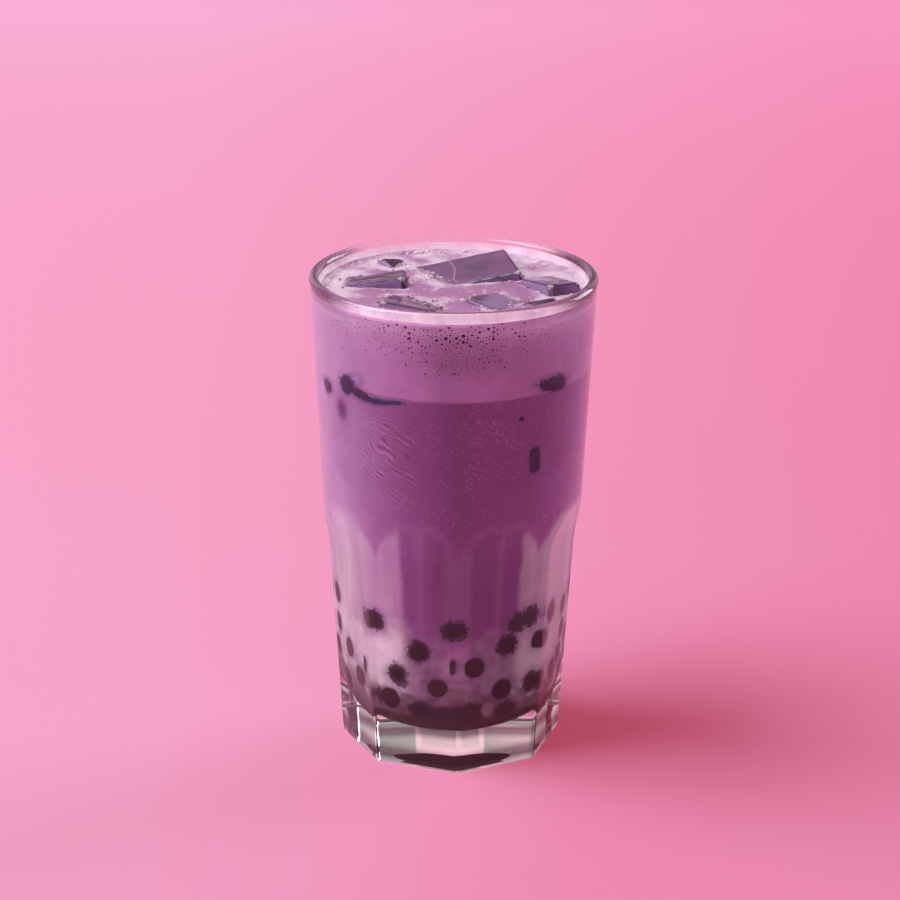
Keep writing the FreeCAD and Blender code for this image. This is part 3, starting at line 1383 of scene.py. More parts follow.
STREAKS = tuple(Streak(*row) for row in (
    (-98, -62, 1.0, 0.6, 0.1), (-62, -46, 1.1, 0.5, 0.1), (-46, -27, 1.34, 0.28),
    (-27, -19, 1.0, 0.0), (-19, -14, 1.12, 0.03), (-14, -3, 0.95, 0.0), (-3, 9, 1.2, 0.04),
    (9, 23, 0.88, 0.0), (23, 27, 1.1, 0.03), (27, 38, 0.88, 0.0), (38, 53, 1.25, 0.34, 0.28),
    (53, 70, 1.2, 0.62, 0.36), (70, 98, 1.0, 0.55, 0.36), (98, 118, 1.0, 0.15),
    (118, 139, 1.25, 0.05), (139, 163, 0.9, 0.0), (163, 185, 1.2, 0.08), (185, 209, 0.92, 0.0),
    (209, 229, 1.3, 0.1), (229, 262, 1.1, 0.4)))


# Mark, bearing from the front, height, half width in degrees, half height, share; in mm
MILK_MARKS = (
    (CURL_MARK, 20, 108, 22, 18, 0.6), (CURL_MARK, -14, 104, 12, 18, 0.4),
    (CURL_MARK, 28, 78, 10, 7, 0.35), (CURL_MARK, 150, 105, 25, 14, 0.4),
    (CURL_MARK, 90, 108, 16, 9, 0.4), (CURL_MARK, -160, 96, 20, 12, 0.35),
    (STRAND_MARK, -30, 106, 21, 19, 1.3), (STRAND_MARK, 12, 104, 40, 18, 0.3),
    (STRAND_MARK, 140, 110, 18, 12, 0.8), (STRAND_MARK, -125, 106, 20, 13, 0.8))


@dataclass
class Drink:
    """Milk and the froth on it, which fill the tumbler from its floor to near the rim."""

    shape: TumblerShape
    froth_line: float
    froth_top: float
    reach: float = 0.15 * MM
    around: int = 460
    meniscus: float = 0.8 * MM
    meniscus_width: float = 1.3 * MM
    relief: float = 0.3 * MM
    pocket_depth: float = 5.0 * MM
    milk_finish: DrinkFinish = DrinkFinish("blueberry milk", roughness=0.5, cloud_scale=90.0,
                                           cloud_strength=0.05)
    froth_finish: DrinkFinish = DrinkFinish("milk froth", roughness=0.6, cloud_scale=160.0,
                                            cloud_strength=0.07, grain_height=0.00008)
    noise: ValueNoise = field(default_factory=lambda: ValueNoise(3))

    @property
    def bearing(self) -> Array:
        """Bearings of the points of every ring, in radians."""
        return even_turns(self.around)

    def side(self, heights: Array) -> Array:
        """Rings of points just inside the wall's surface, as an array of (n, 3)."""
        return np.concatenate([polar(self.shape.cavity(height) + self.reach, self.bearing, height)
                               for height in heights])

    def painted_sheen(self, points: Array) -> Array:
        """Share of painted sheen on the wall, a pale wash that stands for light and reflections:
        most on the left, some on the right and behind.

        Args:
            points: array of (n, 3) places.

        Returns:
            Array of n shares.
        """
        turn = front_bearing(points)
        drift = self.noise.layered(points + 0.02, 12 * MM)
        left = smooth_step(12, 72, -turn) * smooth_step(-175, -120, turn)
        right = smooth_step(50, 90, turn) * smooth_step(150, 110, turn)
        behind = smooth_step(160, 180, np.abs(turn))
        return (0.5 * left + 0.2 * right + 0.2 * behind) * (1 + 0.5 * drift)

    def milk_tint(self, points: Array) -> Array:
        """Colour of the milk at points: deep above, pale and streaky behind the facets, with
        painted light and shade in the streaks and arches, painted shade down the front and a
        painted sheen high up.

        Args:
            points: array of (n, 3) places.

        Returns:
            Array of (n, 3) colours.
        """
        height, turn = points[:, 2] / MM, front_bearing(points)
        drift = self.noise.layered(points * (1, 1, 0.45), 11 * MM)
        fine = self.noise.layered(points + 0.04, 3.2 * MM)
        upright = self.noise.layered(points * (1, 1, 0.05) + 0.07, 3.0 * MM)
        wisps = self.noise.layered(points * (1, 1, 0.3) + 0.03, 5 * MM)
        gain, pale, grey = np.zeros((3, len(points)))
        # Streaks of painted light and shade that the facets cast, some of them paler milk
        for streak in STREAKS:
            cover = streak.cover(turn + 1.2 * fine)
            gain += cover * (streak.gain - 1)
            pale += cover * streak.pale
            grey += cover * streak.grey
        bearing = np.arctan2(points[:, 1], points[:, 0])
        cut = (self.shape.cone(points[:, 2])
               - self.shape.plain_facet(bearing, points[:, 2])) / MM
        behind_facet = smooth_step(0.0, 0.7, cut)
        # Painted light along the arches where the facets run out
        arch_light = hump(cut, -0.1, 0.45) * smooth_step(60, 68, height)
        gain = 1 + gain * behind_facet + 0.16 * arch_light + 0.08 * upright * behind_facet
        pale = pale * behind_facet * (1 + 0.5 * upright) + 0.03 * arch_light
        # The drink is thin and pale low down; it is paler at the sides by painted light
        aside = np.maximum(smooth_step(20, 30, -turn), 0.8 * smooth_step(30, 46, turn))
        top = 46 + 3 * aside + 6 * drift
        low = smooth_step(0, 1, (top + 5 - height) / 17 + 0.3 * fine + 0.25 * wisps)
        pale = np.maximum(pale, low * (0.24 + 0.66 * aside + 0.2 * fine))
        grey = np.maximum(grey * behind_facet, low * (0.15 + 0.45 * smooth_step(10, 40, turn)))
        tint = towards(towards(np.array(MILK_DEEP), MILK_PALE, pale), MILK_GREY, grey)
        # Painted shade down the front middle of the milk
        deep = 0.22 * hump(turn, 3, 10) * smooth_step(42, 50, height)
        tint = tint * (gain * (1 - deep))[:, None]
        # Painted sheen high on the milk
        tint = towards(tint, PAINTED_SHEEN, self.painted_sheen(points) * smooth_step(66, 80, height))
        # Dark dregs gather on the floor, with pale lumps in them
        lumps = smooth_step(0.25, 0.6, self.noise.at(points + 0.09, 4 * MM))
        dregs = smooth_step(34, 20, height + 7 * fine + 3 * drift)
        dregs = dregs * (1 - 0.7 * lumps * smooth_step(15, 18, height))
        tint = towards(tint, MILK_DREGS, 0.92 * dregs)
        tint = towards(tint, DREGS, smooth_step(18.5, 15, height + 1.5 * fine))
        return np.clip(tint * (1 + 0.05 * drift + 0.05 * fine)[:, None], 0, 1)

    def milk_marks(self, points: Array) -> Array:
        """Where the milk shows fine curls and long strands, a little to each side of the front.

        Args:
            points: array of (n, 3) places.

        Returns:
            Array of (n, 4) marks.
        """
        turn = front_bearing(points)
        height = points[:, 2] / MM
        patchy = smooth_step(-0.5, 0.4, self.noise.layered(points, 6 * MM))
        marks = np.zeros((len(points), 4))
        marks[:, CURL_MARK] = 0.3 * patchy * smooth_step(66, 78, height)
        for mark, bearing, level, wide, tall, share in MILK_MARKS:
            away = np.hypot(turned(turn, bearing) / wide, (height - level) / tall)
            cover = share * smooth_step(1, 0.35, away) * (patchy if mark == CURL_MARK else 1)
            marks[:, mark] = np.maximum(marks[:, mark], cover)
        return marks

    def build_milk(self, sunken: Sequence[tuple[WallThings, Colour]]) -> Piece:
        """Make the milk, with what is sunk in it showing through.

        Args:
            sunken: sets of sunken things, each with the milk's colour just round them.

        Returns:
            The milk.
        """
        shape = self.shape
        angles = np.linspace(0, math.pi / 2 - math.atan(shape.cavity_taper), 54)
        arc = shape.base_thickness + shape.floor_corner * (1 - np.cos(angles))
        # Rings stand close together where pearls and bits of ice show
        heights = np.concatenate([arc, np.arange(arc[-1] + 0.42 * MM, 55 * MM, 0.45 * MM),
                                  np.arange(55 * MM, 96 * MM, 1.8 * MM),
                                  np.linspace(96 * MM, self.froth_line, 56)])
        points = self.side(heights)
        points[:, 2] = np.where(points[:, 2] < arc[-1], points[:, 2] - self.reach, points[:, 2])
        tint = self.milk_tint(points)
        for things, halo in sunken:
            tint = things.paint(points, tint, halo)
        marks = self.milk_marks(points)
        marks[:, VEIL_MARK] = np.maximum.reduce([things.veil(points) for things, _ in sunken])
        tint[:self.around] = DREGS
        parts = MeshParts()
        parts.add(capped((0, 0, shape.base_thickness - self.reach), points,
                         (0, 0, self.froth_line)),
                  ring_faces(len(heights), self.around),
                  capped(DREGS, tint, MILK_DEEP), capped(NO_MARKS, marks, NO_MARKS))
        milk = parts.build("blueberry_milk", self.milk_finish)
        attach(milk, BODY)
        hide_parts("milk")
        return milk

    def top_height(self, points: Array) -> Array:
        """Height of the froth's top at points, with the rise at the wall and soft relief.

        Args:
            points: array of (n, 3) places.

        Returns:
            Array of n heights.
        """
        inward = self.shape.cavity(self.froth_top) - np.hypot(points[:, 0], points[:, 1])
        rise = self.meniscus * np.exp(-np.clip(inward, 0, None) / self.meniscus_width)
        flat = points * FLAT
        waves = 0.7 * self.noise.layered(flat, 7 * MM) + 0.3 * self.noise.at(flat + 0.1, 1.6 * MM)
        return self.froth_top + rise + self.relief * waves * smooth_step(0, 2 * MM, inward)

    def froth_wall(self, points: Array, sunken: WallThings) -> tuple[Array, Array]:
        """Tint and marks of the froth at points of its wall, with painted light and shade across
        the front, a painted sheen, and the bits of ice that show there.

        Args:
            points: array of (n, 3) places.
            sunken: bits of ice that show there.

        Returns:
            Arrays of (n, 3) colours and (n, 4) marks.
        """
        turn = front_bearing(points)
        under_top = (self.froth_top - points[:, 2]) / MM
        drift = self.noise.layered(points, 9 * MM)
        tint = np.array(FROTH_WALL) * (1 + 0.06 * drift)[:, None]
        # Painted shade on the front middle of the froth's wall
        painted_front_shade = hump(turn, 6, 26) * hump(under_top, 10, 6)
        tint = tint * (1 - 0.28 * painted_front_shade)[:, None]
        # Painted shade: a darker patch just under the top at the front, below the front ice
        tint = towards(tint, PAINTED_POCKET_SHADE, 0.14 * hump(turn, 1, 16) * hump(under_top, 4, 2.6))
        # Painted light and shade across the front: darker to the left and right, lighter round the
        # middle, with a narrow darker strip at the middle
        left = smooth_step(20, 60, -turn) * smooth_step(180, 120, -turn)
        right = smooth_step(42, 68, turn) * smooth_step(150, 110, turn)
        middle = 0.2 * hump(turn, 6, 32) - 0.22 * hump(turn, -1, 9)
        tint = tint * (1 - 0.2 * left - 0.2 * right + middle)[:, None]
        tint = towards(tint, FROTH_PALE, 0.3 * np.exp(-np.abs(under_top - 2) / 2.5))
        # Painted sheen on the froth's wall, then the bits of ice
        tint = sunken.paint(points, towards(tint, PAINTED_SHEEN, self.painted_sheen(points)), ICE_HALO)
        marks = np.zeros((len(points), 4))
        marks[:, SPECK_MARK] = (smooth_step(14, 1, under_top)
                                * (0.25 + 0.35 * smooth_step(60, 20, np.abs(turn))))
        marks[:, CURL_MARK] = 0.12 + 0.2 * smooth_step(5, 10, under_top)
        marks[:, VEIL_MARK] = sunken.veil(points)
        return tint, marks

    def froth_over(self, points: Array, drop: Array, under: Array,
                   near: Array) -> tuple[Array, Array]:
        """Tint and marks of the froth's top, with painted shade in the hollows under the ice and
        along the blocks' edges.

        Args:
            points: array of (n, 3) places on the top.
            drop: how far each of them is pressed down by ice.
            under: how deep each of them lies inside a block.
            near: share by which each of them lies close to a block's edge.

        Returns:
            Arrays of (n, 3) colours and (n, 4) marks.
        """
        clumps = self.noise.layered(points * FLAT + 0.02, 5 * MM)
        drift = self.noise.at(points * FLAT + 0.05, 3 * MM)
        outer = smooth_step(24 * MM, 37 * MM, np.hypot(points[:, 0], points[:, 1]))
        behind = np.maximum(smooth_step(-5 * MM, 22 * MM, points[:, 1] + 0.4 * points[:, 0]),
                            1.2 * outer * smooth_step(-28 * MM, -8 * MM, points[:, 1]))
        pale = smooth_step(-0.1, 0.9, clumps + 0.8 * near + 0.75 * behind - 0.3)
        tint = towards(np.array(FROTH_TOP), FROTH_PALE, pale)
        # Painted shade in the hollow under each block
        hollow = smooth_step(0.2 * MM, 2.2 * MM, drop)
        tint = towards(tint, PAINTED_POCKET_SHADE, hollow)
        # Painted shade: a dark line on the froth along the edge of each block
        outline = smooth_step(0.82, 0.93, near) * (under <= 0) * (0.55 + 0.45 * drift)
        tint = towards(tint, PAINTED_ICE_EDGE_SHADE, np.clip(outline, 0, 1))
        marks = np.zeros((len(points), 4))
        marks[:, SPECK_MARK] = (0.3 + 0.4 * near) * (1 - hollow)
        marks[:, CURL_MARK] = 0.3 * smooth_step(-0.2, 0.5, -clumps) * (1 - hollow)
        return tint, marks

    def build_froth(self, ice: IceBlocks, sunken: WallThings) -> Piece:
        """Make the froth, with a hollow under each block of ice that stands out of it, darkened by
        painted shade.

        Args:
            ice: the blocks of ice.
            sunken: bits of ice that show at the froth's wall.

        Returns:
            The froth.
        """
        heights = np.arange(self.froth_line, self.froth_top - 0.3 * MM, 0.55 * MM)
        wall = self.side(heights)
        edge = self.shape.cavity(self.froth_top) + self.reach
        shares = np.concatenate([np.linspace(1, 0.93, 14), np.linspace(0.93, 0.02, 92)[1:]])
        top = np.concatenate([polar(edge * share, self.bearing, self.froth_top)
                              for share in shares])
        level = self.top_height(top)
        under, near = ice.footprint(top, level)
        drop = np.minimum(1.3 * under, self.pocket_depth)
        top[:, 2] = level - drop
        wall_tint, wall_marks = self.froth_wall(wall, sunken)
        top_tint, top_marks = self.froth_over(top, drop, under, near)
        parts = MeshParts()
        parts.add(capped((0, 0, self.froth_line), np.concatenate([wall, top]),
                         (0, 0, top[-1, 2])),
                  ring_faces(len(heights) + len(shares), self.around),
                  capped(FROTH_WALL, np.concatenate([wall_tint, top_tint]), FROTH_TOP),
                  capped(NO_MARKS, np.concatenate([wall_marks, top_marks]), NO_MARKS))
        froth = parts.build("milk_froth", self.froth_finish)
        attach(froth, BODY)
        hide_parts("froth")
        return froth


# ---- ice


@dataclass
class IceBlocks:
    """Blocks of ice that float in the froth, worn smooth by melting."""

    names: tuple[str, ...] = ("ice_back", "ice_back_left", "ice_left", "ice_front_left",
                              "ice_front", "ice_front_right", "ice_right")
    voxel: float = 0.3 * MM
    wear: float = 0.18 * MM
    edge_spread: int = 18
    nearness: float = 4 * MM
    sky: float = 0.2
    # Direction whose faces get the painted light
    front: Triple = (-0.5, -0.8, 0.33)
    cracked: str = "ice_back"
    crack_turn: Triple = (1.0, 0.1, -0.25)
    crack_offset: float = 36 * MM
    # How pale the upper face of each block is
    pale: tuple[float, ...] = (0.0, 0.0, 0.2, 0.4, 0.75, 0.1, 0.5)
    finish: IceFinish = IceFinish("dark ice", deep=srgb(66, 18, 60), cloud=srgb(152, 76, 138),
                                  face=srgb(196, 158, 212), ridge=(1.0, 0.95, 1.0),
                                  line=srgb(42, 14, 46), clear=0.35)
    noise: ValueNoise = field(default_factory=lambda: ValueNoise(21))
    trees: list[BVHTree] = field(default_factory=list)

    def worn(self, name: str) -> bpy.types.Mesh:
        """Mesh of a block with its edges rounded and its faces slightly wavy.

        Args:
            name: node of the block.

        Returns:
            The mesh.
        """
        rough = add_object("rough_ice", bpy.data.objects[name].data.copy())
        remesh = rough.modifiers.new("even", "REMESH")
        remesh.mode = "VOXEL"
        remesh.voxel_size = self.voxel
        smooth = rough.modifiers.new("soft", "SMOOTH")
        smooth.iterations = 2
        ready = rough.evaluated_get(bpy.context.evaluated_depsgraph_get())
        mesh = bpy.data.meshes.new_from_object(ready)
        bpy.data.objects.remove(rough)
        places = np.empty(len(mesh.vertices) * 3)
        normals = np.empty(len(mesh.vertices) * 3)
        mesh.vertices.foreach_get("co", places)
        mesh.vertices.foreach_get("normal", normals)
        places, normals = places.reshape(-1, 3), normals.reshape(-1, 3)
        waves = self.noise.layered(places, 5 * MM) - 0.6
        places = places + normals * (self.wear * waves)[:, None]
        mesh.vertices.foreach_set("co", places.ravel())
        mesh.shade_smooth()
        self.mark_edges(mesh, places, normals, 1.0 if name == self.cracked else 0.0,
                        self.pale[self.names.index(name)])
        return mesh

    def mark_edges(self, mesh: bpy.types.Mesh, places: Array, normals: Array,
                   cracked: float, pale: float) -> None:
        """Store which points face the front (painted light), lie on a ridge (painted highlight) or
        lie beside one (painted shade).

        Args:
            mesh: the block's mesh.
            places: array of (n, 3) places of its points.
            normals: array of (n, 3) directions of its surface.
            cracked: share by which a crack and the pale ice beside it show.
            pale: how pale the faces that do not look to the front are.
        """
        ends = np.empty(len(mesh.edges) * 2, dtype=int)
        mesh.edges.foreach_get("vertices", ends)
        first, second = ends.reshape(-1, 2).T
        spread = normals.copy()
        for _ in range(self.edge_spread):
            total, weight = spread.copy(), np.ones(len(spread))
            for here, there in ((first, second), (second, first)):
                np.add.at(total, here, spread[there])
                np.add.at(weight, here, 1)
            spread = total / weight[:, None]
        bend = 1 - np.linalg.norm(spread, axis=1)
        low, middle, high = np.percentile(bend, (86, 94, 97.5))
        patchy = smooth_step(-0.5, 0.2, self.noise.at(spread * 20 * MM, 4 * MM))
        marks = np.ones((len(normals), 4), dtype=np.float32)
        split = places @ np.array(self.crack_turn) + self.crack_offset
        split = split + 0.9 * MM * self.noise.at(places, 4 * MM)
        beside = smooth_step(0.15 * MM, -0.15 * MM, split)
        crack = smooth_step(0.35 * MM, 0.1 * MM, np.abs(split))
        # Painted light on the sides that face the front and left; the pale ice beside the crack
        # and the cloudy pale patches are the ice's own
        painted_lit_side = smooth_step(0.35, 0.7, normals @ np.array(self.front))
        cloudy = smooth_step(-0.6, 0.3, self.noise.layered(places, 6 * MM))
        marks[:, LIT_SIDE_AND_PALE_MARK] = np.maximum.reduce([painted_lit_side, 0.3 * beside * cracked, pale * cloudy])
        # Painted highlights along the ridges, and the crack drawn pale
        marks[:, HIGHLIGHT_AND_CRACK_MARK] = np.maximum(smooth_step(middle, high, bend) * patchy,
                                          0.35 * crack * cracked)
        # Painted shade: dark lines just beside the ridges
        marks[:, SHADE_LINE_MARK] = 0.75 * smooth_step(low, (low + middle) / 2, bend)
        attribute = mesh.attributes.new("marks", "FLOAT_COLOR", "POINT")
        attribute.data.foreach_set("color", marks.ravel())

    def build(self) -> list[Piece]:
        """Make every block and remember its surface.

        Returns:
            The blocks.
        """
        dressed = self.finish.make()
        blocks = []
        for name in self.names:
            mesh = self.worn(name)
            mesh.name = f"{name}_block"
            mesh.materials.clear()
            mesh.materials.append(dressed)
            block = add_object(mesh.name, mesh)
            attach(block, BODY)
            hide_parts(name)
            self.trees.append(BVHTree.FromPolygons([point.co for point in mesh.vertices],
                                                   [face.vertices for face in mesh.polygons]))
            blocks.append(block)
        return blocks

    def footprint(self, points: Array, level: Array) -> tuple[Array, Array]:
        """Where blocks stand out of the froth.

        Args:
            points: array of (n, 3) places on the froth's top.
            level: height of the froth's top at each of them.

        Returns:
            How deep each point lies inside a block, 0 outside every block, and the share by
            which a point lies close to a block's edge.
        """
        under, near = np.zeros((2, len(points)))
        down = Vector((0, 0, -1))
        for index, (place, height) in enumerate(zip(points, level)):
            surface = Vector((place[0], place[1], height))
            for tree in self.trees:
                distance = tree.find_nearest(surface, self.nearness)[3]
                if distance is None:
                    continue
                near[index] = max(near[index], 1 - distance / self.nearness)
                over = tree.ray_cast(Vector((place[0], place[1], self.sky)), down)[0]
                if over is not None and over.z > height:
                    under[index] = max(under[index], distance)
        return under, near


# ---- bubbles


@dataclass
class WallBubbles:
    """Dark bubbles pressed against the wall, just under the froth's top."""

    shape: TumblerShape
    froth_top: float
    reach: float = 0.22 * MM
    tries: int = 9000
    deepest: float = 17.0
    # Middle and spread of the dense and the loose cluster at the front, and the share of each
    dense: Pair = (-1.5, 8)
    loose: Pair = (-6, 24)
    shares: Triple = (0.55, 0.32, 0.13)
    seed: int = 5
    colour: Colour = srgb(62, 18, 52)
    finish: GlossFinish = GlossFinish("dark bubble", (1, 1, 1), (0.8, 0.7, 0.8), roughness=0.35,
                                      scale=900.0, bump_height=0.00001)
    # Bearing from the front, depth under the froth's top, and radius, in degrees and mm
    large: tuple[Triple, ...] = (
        (-3, 3.6, 0.68), (1.3, 3.5, 0.58), (4.1, 2.8, 0.7), (-1.3, 4.5, 0.45), (1.7, 5.1, 0.42),
        (4.1, 4.7, 0.6), (6.7, 5.8, 0.48), (-6.6, 4.1, 0.5), (-6.9, 3.0, 0.35), (-6.9, 1.9, 0.3),
        (-10.3, 2.8, 0.32), (10, 3.4, 0.44), (8, 2.7, 0.33), (13.6, 3.5, 0.3), (1.5, 6.4, 0.36),
        (-3, 7, 0.36), (-4.7, 7, 0.28), (-0.5, 7.3, 0.28), (-2.4, 8.3, 0.3), (2.6, 8.2, 0.34),
        (-18.8, 4.5, 0.32), (-8.3, 5.3, 0.3), (16, 5, 0.28), (-13.5, 4.2, 0.3),
        (-1.2, 2.6, 0.4), (2.9, 4.1, 0.36), (-4.6, 5.4, 0.4), (0.2, 5.7, 0.34), (5.9, 3.9, 0.4),
        (-8.6, 3.3, 0.36), (6.1, 2.0, 0.3), (-4.8, 2.5, 0.34), (12, 4.6, 0.32), (3.4, 6.3, 0.3),
        (-11.8, 3.9, 0.28), (9.4, 4.9, 0.3), (1.1, 1.9, 0.28), (-2.4, 5.9, 0.28))

    def scattered(self) -> list[Sunken]:
        """All the bubbles, dense under the top at the front and thinner round the sides.

        Returns:
            The bubbles as sunken things.
        """
        pick = np.random.default_rng(self.seed)
        wall = math.radians(1) * self.shape.cavity(self.froth_top) / MM
        placed = np.array(self.large)
        for _ in range(self.tries):
            bearing = pick.choice([pick.normal(*self.dense), pick.normal(*self.loose),
                                   pick.uniform(-180, 180)], p=self.shares)
            depth = 0.9 + pick.gamma(1.7, 2.1)
            size = min(0.2 + pick.exponential(0.07), 0.4) * (1 if abs(bearing) < 22 else 0.8)
            if depth > self.deepest:
                continue
            apart = np.hypot((bearing - placed[:, 0]) * wall, depth - placed[:, 1]) - placed[:, 2]
            if apart.min() > size + 0.06 + 0.015 * depth:
                placed = np.vstack([placed, (bearing, depth, size)])
        return [Sunken(bearing, self.froth_top - depth * MM, size * MM, size * 0.85 * MM,
                       0.0, self.colour) for bearing, depth, size in placed]

    def build(self) -> Piece:
        """Make the bubbles as one joined piece.

        Returns:
            The piece.
        """
        things = WallThings(self.shape, self.scattered(), self.seed)
        bubbles = things.build("wall_bubbles", self.finish, self.reach, rings=4, around=8)
        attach(bubbles, BODY)
        return bubbles


@dataclass
class TopBubbles:
    """Pale bubbles on the froth's top, thick along the wall and round the ice."""

    drink: Drink
    ice: IceBlocks
    count: int = 1200
    tries: int = 5200
    reach: float = 34.0
    wall_share: float = 0.45
    wall_spread: float = 1.9
    seed: int = 8
    colour: Colour = srgb(250, 224, 242)
    finish: GlossFinish = GlossFinish("bubble skin", (1, 1, 1), (0.9, 0.82, 0.9), roughness=0.35,
                                      scale=700.0, bump_height=0.00001)

    def build(self) -> Piece:
        """Make the bubbles as one joined piece.

        Returns:
            The piece.
        """
        pick = np.random.default_rng(self.seed)
        unit, faces = rounded(Round.DOME, rings=4, around=10)
        edge = self.drink.shape.cavity(self.drink.froth_top)
        bearings = pick.uniform(-180, 180, self.tries)
        at_wall = pick.uniform(0, 1, self.tries) < self.wall_share
        inward = np.where(at_wall, pick.exponential(self.wall_spread, self.tries),
                          pick.uniform(0, self.reach, self.tries)) * MM
        sizes = np.clip(0.13 + pick.exponential(0.2, self.tries), 0, 1.9) * MM
        places = polar(edge - inward - sizes * 0.7, np.radians(bearings), 0.0)
        within = inward < self.reach * MM
        places, sizes = places[within], sizes[within]
        level = self.drink.top_height(places)
        under, near = self.ice.footprint(places, level)
        rim = smooth_step(5 * MM, 1 * MM, edge - np.hypot(places[:, 0], places[:, 1]))
        behind = 0.5 + 0.5 * places[:, 1] / edge
        chance = rim * (0.35 + 0.65 * behind) + 0.5 * near ** 2 + 0.06
        keep = (pick.uniform(0, 1, len(places)) < chance) & (under < 0.3 * MM)
        parts = MeshParts()
        for place, height, size in list(zip(places[keep], level[keep], sizes[keep]))[:self.count]:
            centre = np.array([place[0], place[1], height - 0.15 * size])
            parts.add(centre + unit * size * (1, 1, 0.6), faces,
                      np.tile(np.array(self.colour) * pick.uniform(0.8, 1.05), (len(unit), 1)))
        bubbles = parts.build("froth_bubbles", self.finish)
        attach(bubbles, BODY)
        return bubbles


@dataclass
class WallFilm:
    """Thin milk film on the bare wall over the froth."""

    shape: TumblerShape
    froth_top: float
    around: int = 160
    rows: int = 8
    gap: float = 0.04 * MM
    thickness: float = 0.05 * MM
    top_share: float = 0.8
    finish: FilmFinish = FilmFinish("milk film", srgb(252, 234, 248), share=0.47, glow=0.3)

    def build(self) -> Piece:
        """Make the film as a thin closed band: up its outer side and down its inner one.

        Returns:
            The piece.
        """
        heights = np.linspace(self.froth_top + 0.3 * MM, self.shape.lip_centre, self.rows)
        sides = [(height, self.gap) for height in heights]
        sides += [(height, self.gap + self.thickness) for height in heights[::-1]]
        points = np.concatenate([polar(self.shape.cavity(height) - inward,
                                       even_turns(self.around), height)
                                 for height, inward in sides])
        rise = np.linspace(1, self.top_share, self.rows)
        share = np.repeat(np.concatenate([rise, rise[::-1]]), self.around)
        # The last ring is the first one again
        faces = [tuple(corner % len(points) for corner in face)
                 for face in ring_faces(len(sides) + 1, self.around, poles=False)]
        parts = MeshParts()
        parts.add(points, faces, None, share[:, None] * np.ones(4))
        film = parts.build("milk_film", self.finish)
        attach(film, BODY)
        return film


@dataclass
class SunkenIce:
    """Bits of ice held below the froth, pressed against the wall."""

    reach: float = 0.28 * MM
    finish: GlossFinish = GlossFinish("dark ice", (0.5, 0.5, 0.6), (1.3, 1.5, 1.9), roughness=0.3,
                                      scale=420.0, bump_height=0.00004, specular=0.15)

    def build(self, things: WallThings) -> Piece:
        """Make the bits as one joined piece.

        Args:
            things: the bits of ice.

        Returns:
            The piece.
        """
        bits = things.build("sunken_ice", self.finish, self.reach, rings=24, around=40)
        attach(bits, BODY)
        return bits


# ---- stage, lamps and camera


@dataclass(frozen=True)
class Lamp:
    """Soft square lamp that points at the drink. Its power is in watts."""

    name: str
    place: Triple
    size: float
    power: float

    def build(self) -> None:
        """Make the lamp."""
        data = bpy.data.lights.new(self.name, "AREA")
        data.size = self.size
        data.energy = self.power
        lamp = add_object(self.name, data)
        lamp.location = self.place
        aim = Vector((0, 0, cad_high[2] / 2)) - Vector(self.place)
        lamp.rotation_euler = aim.to_track_quat("-Z", "Y").to_euler()


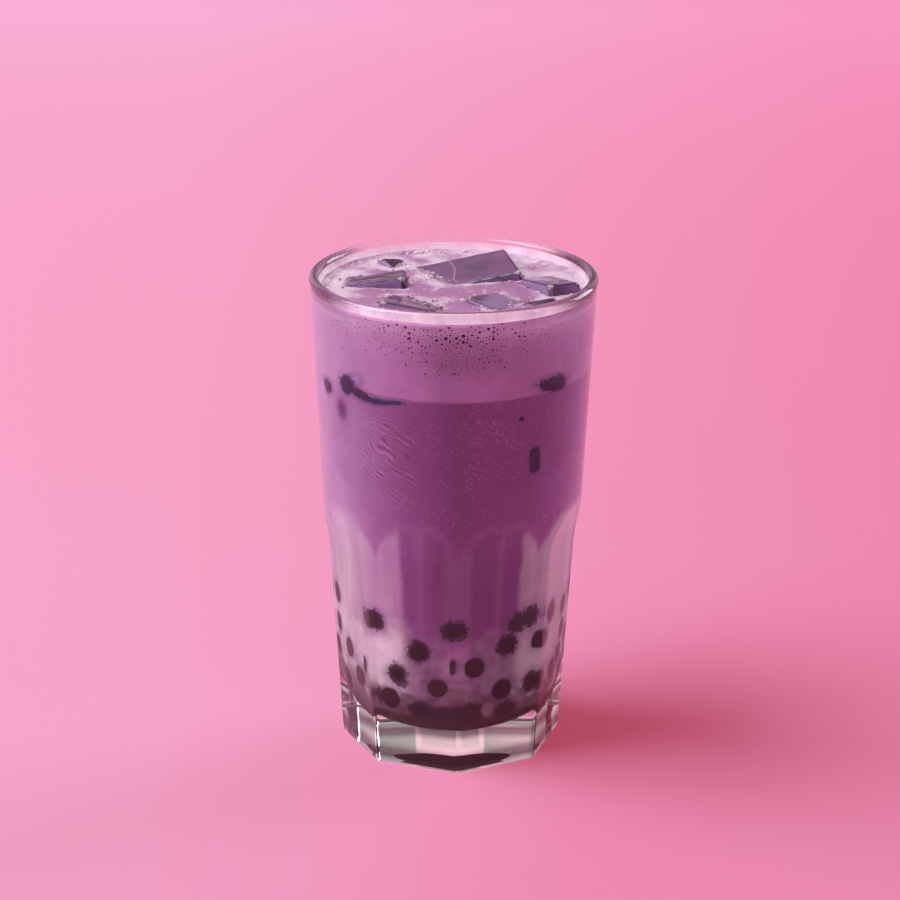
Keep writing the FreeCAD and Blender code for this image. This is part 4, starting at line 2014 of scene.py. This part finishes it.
@dataclass
class Studio:
    """Plain pale floor, soft lamps and the camera."""

    lamps: tuple[Lamp, ...] = (Lamp("key", (-1.36, -0.05, 1.8), size=1.6, power=46.5),
                               Lamp("side", (1.75, 1.2, 0.62), size=1.1, power=21.0))
    camera_place: Triple = (0, -0.8216, 0.3866)
    camera_aim: Triple = (0, 0, 0.075)
    camera_roll: float = 0.3725
    camera_lens: float = 112.16
    camera_shift: Pair = (-0.0024, 0.0662)
    wall_grey: Colour = (0.38, 0.36, 0.34)
    wall_rose: Colour = (1.0, 0.64, 0.72)
    band_dark: Colour = (0.05, 0.02, 0.04)
    band_pale: Colour = (0.9, 0.84, 0.88)
    floor_size: float = 14.0
    floor_drop: float = 0.1 * MM
    world: float = 0.1
    floor: StageFinish = StageFinish(
        "rose paper", colour=(0.98, 0.6, 0.91), right_shade_colour=(0.95, 0.44, 0.74),
        bounce=(0.7, 0.64, 0.72), glow=(1.0, 0.0, 0.03), back_glow=(1.1, 0.43, 0.69),
        back_right_glow=(1.08, 0.31, 0.55), glow_share=0.3, back_share=0.65)

    def build_floor(self) -> None:
        """Make the floor."""
        mesh = bpy.data.meshes.new("floor")
        half = self.floor_size / 2
        mesh.from_pydata([(-half, -half, 0), (half, -half, 0), (half, half, 0), (-half, half, 0)],
                         [], [(0, 1, 2, 3)])
        floor = add_object("floor", mesh)
        floor.location.z = -self.floor_drop
        mesh.materials.append(self.floor.make())

    def build_world(self) -> None:
        """Make the even light of the room, and its walls for glass to show."""
        world = bpy.data.worlds.new("room")
        world.use_nodes = True
        graph = Graph(world.node_tree)
        glow = graph.add("ShaderNodeBackground", {"Color": (1, 1, 1), "Strength": self.world})
        direction = graph.add("ShaderNodeTexCoord").outputs[0]
        around = graph.add("ShaderNodeTexNoise", {"Vector": direction, "Scale": 2.6,
                                                  "Detail": 1.0})
        patches = graph.rescale(around.outputs["Fac"], 0.4, 0.52)
        back = graph.mix(patches, self.wall_grey, self.wall_rose)
        across = graph.add("ShaderNodeSeparateXYZ", {"Vector": direction}).outputs[0]
        aside = graph.rescale(graph.maths("ABSOLUTE", across), 0.45, 0.8)
        bands = graph.add("ShaderNodeTexNoise", {"Vector": direction, "Scale": 7.0, "Detail": 1.0})
        banded = graph.mix(graph.rescale(bands.outputs["Fac"], 0.47, 0.55),
                           self.band_dark, self.band_pale)
        walls = graph.add("ShaderNodeBackground", {
            "Color": graph.mix(aside, back, banded), "Strength": 1.0})
        path = graph.add("ShaderNodeLightPath")
        mirrored = graph.maths("MAXIMUM", path.outputs["Is Glossy Ray"],
                               path.outputs["Is Transmission Ray"])
        graph.add("ShaderNodeOutputWorld", {"Surface": graph.mix_shaders(mirrored, glow, walls)})
        bpy.context.scene.world = world

    def build_camera(self) -> None:
        """Make the camera, which looks down on the drink from the front."""
        data = bpy.data.cameras.new("camera")
        data.sensor_width = 36.0
        data.lens = self.camera_lens
        data.shift_x, data.shift_y = self.camera_shift
        data.clip_start = 0.01
        camera = add_object("camera", data)
        aim = Vector(self.camera_aim) - Vector(self.camera_place)
        roll = Matrix.Rotation(math.radians(self.camera_roll), 3, "Z")
        camera.location = self.camera_place
        camera.rotation_euler = (aim.to_track_quat("-Z", "Y").to_matrix() @ roll).to_euler()
        bpy.context.scene.camera = camera

    def build(self) -> None:
        """Make everything round the drink."""
        bpy.context.scene.view_settings.view_transform = "Standard"
        self.build_world()
        self.build_floor()
        for lamp in self.lamps:
            lamp.build()
        self.build_camera()


# ---- all together


def main() -> None:
    """Build the studio, then the tumbler and what fills it, and report each piece."""
    logging.basicConfig(level=logging.INFO, format="%(name)s: %(message)s")
    Studio().build()
    shape = TumblerShape(height=float(cad_high[2]), rim_radius=float(cad_high[0]))
    glass = Tumbler(shape).build()
    ice = IceBlocks()
    blocks = ice.build()
    froth_low, froth_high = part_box("froth")
    drink = Drink(shape, froth_line=float(froth_low[2]), froth_top=float(froth_high[2]))
    pearls = Pearls(shape)
    pearl_things = WallThings(shape, pearls.sunken(), seed=31)
    ice_things = WallThings(shape, SUNKEN_ICE, seed=32)
    patches = WallThings(shape, PATCHES, seed=33)
    pieces = [glass, *blocks,
              drink.build_milk([(patches, MILK_DREGS), (pearl_things, PEARL_HALO),
                                (ice_things, ICE_HALO)]),
              drink.build_froth(ice, ice_things),
              pearls.build(pearl_things),
              SunkenIce().build(ice_things),
              WallBubbles(shape, drink.froth_top).build(),
              WallFilm(shape, drink.froth_top).build(),
              TopBubbles(drink, ice).build()]
    for piece in pieces:
        log.info("%s: %d faces", piece.name, len(piece.data.polygons))


if __name__ == "__main__":
    main()
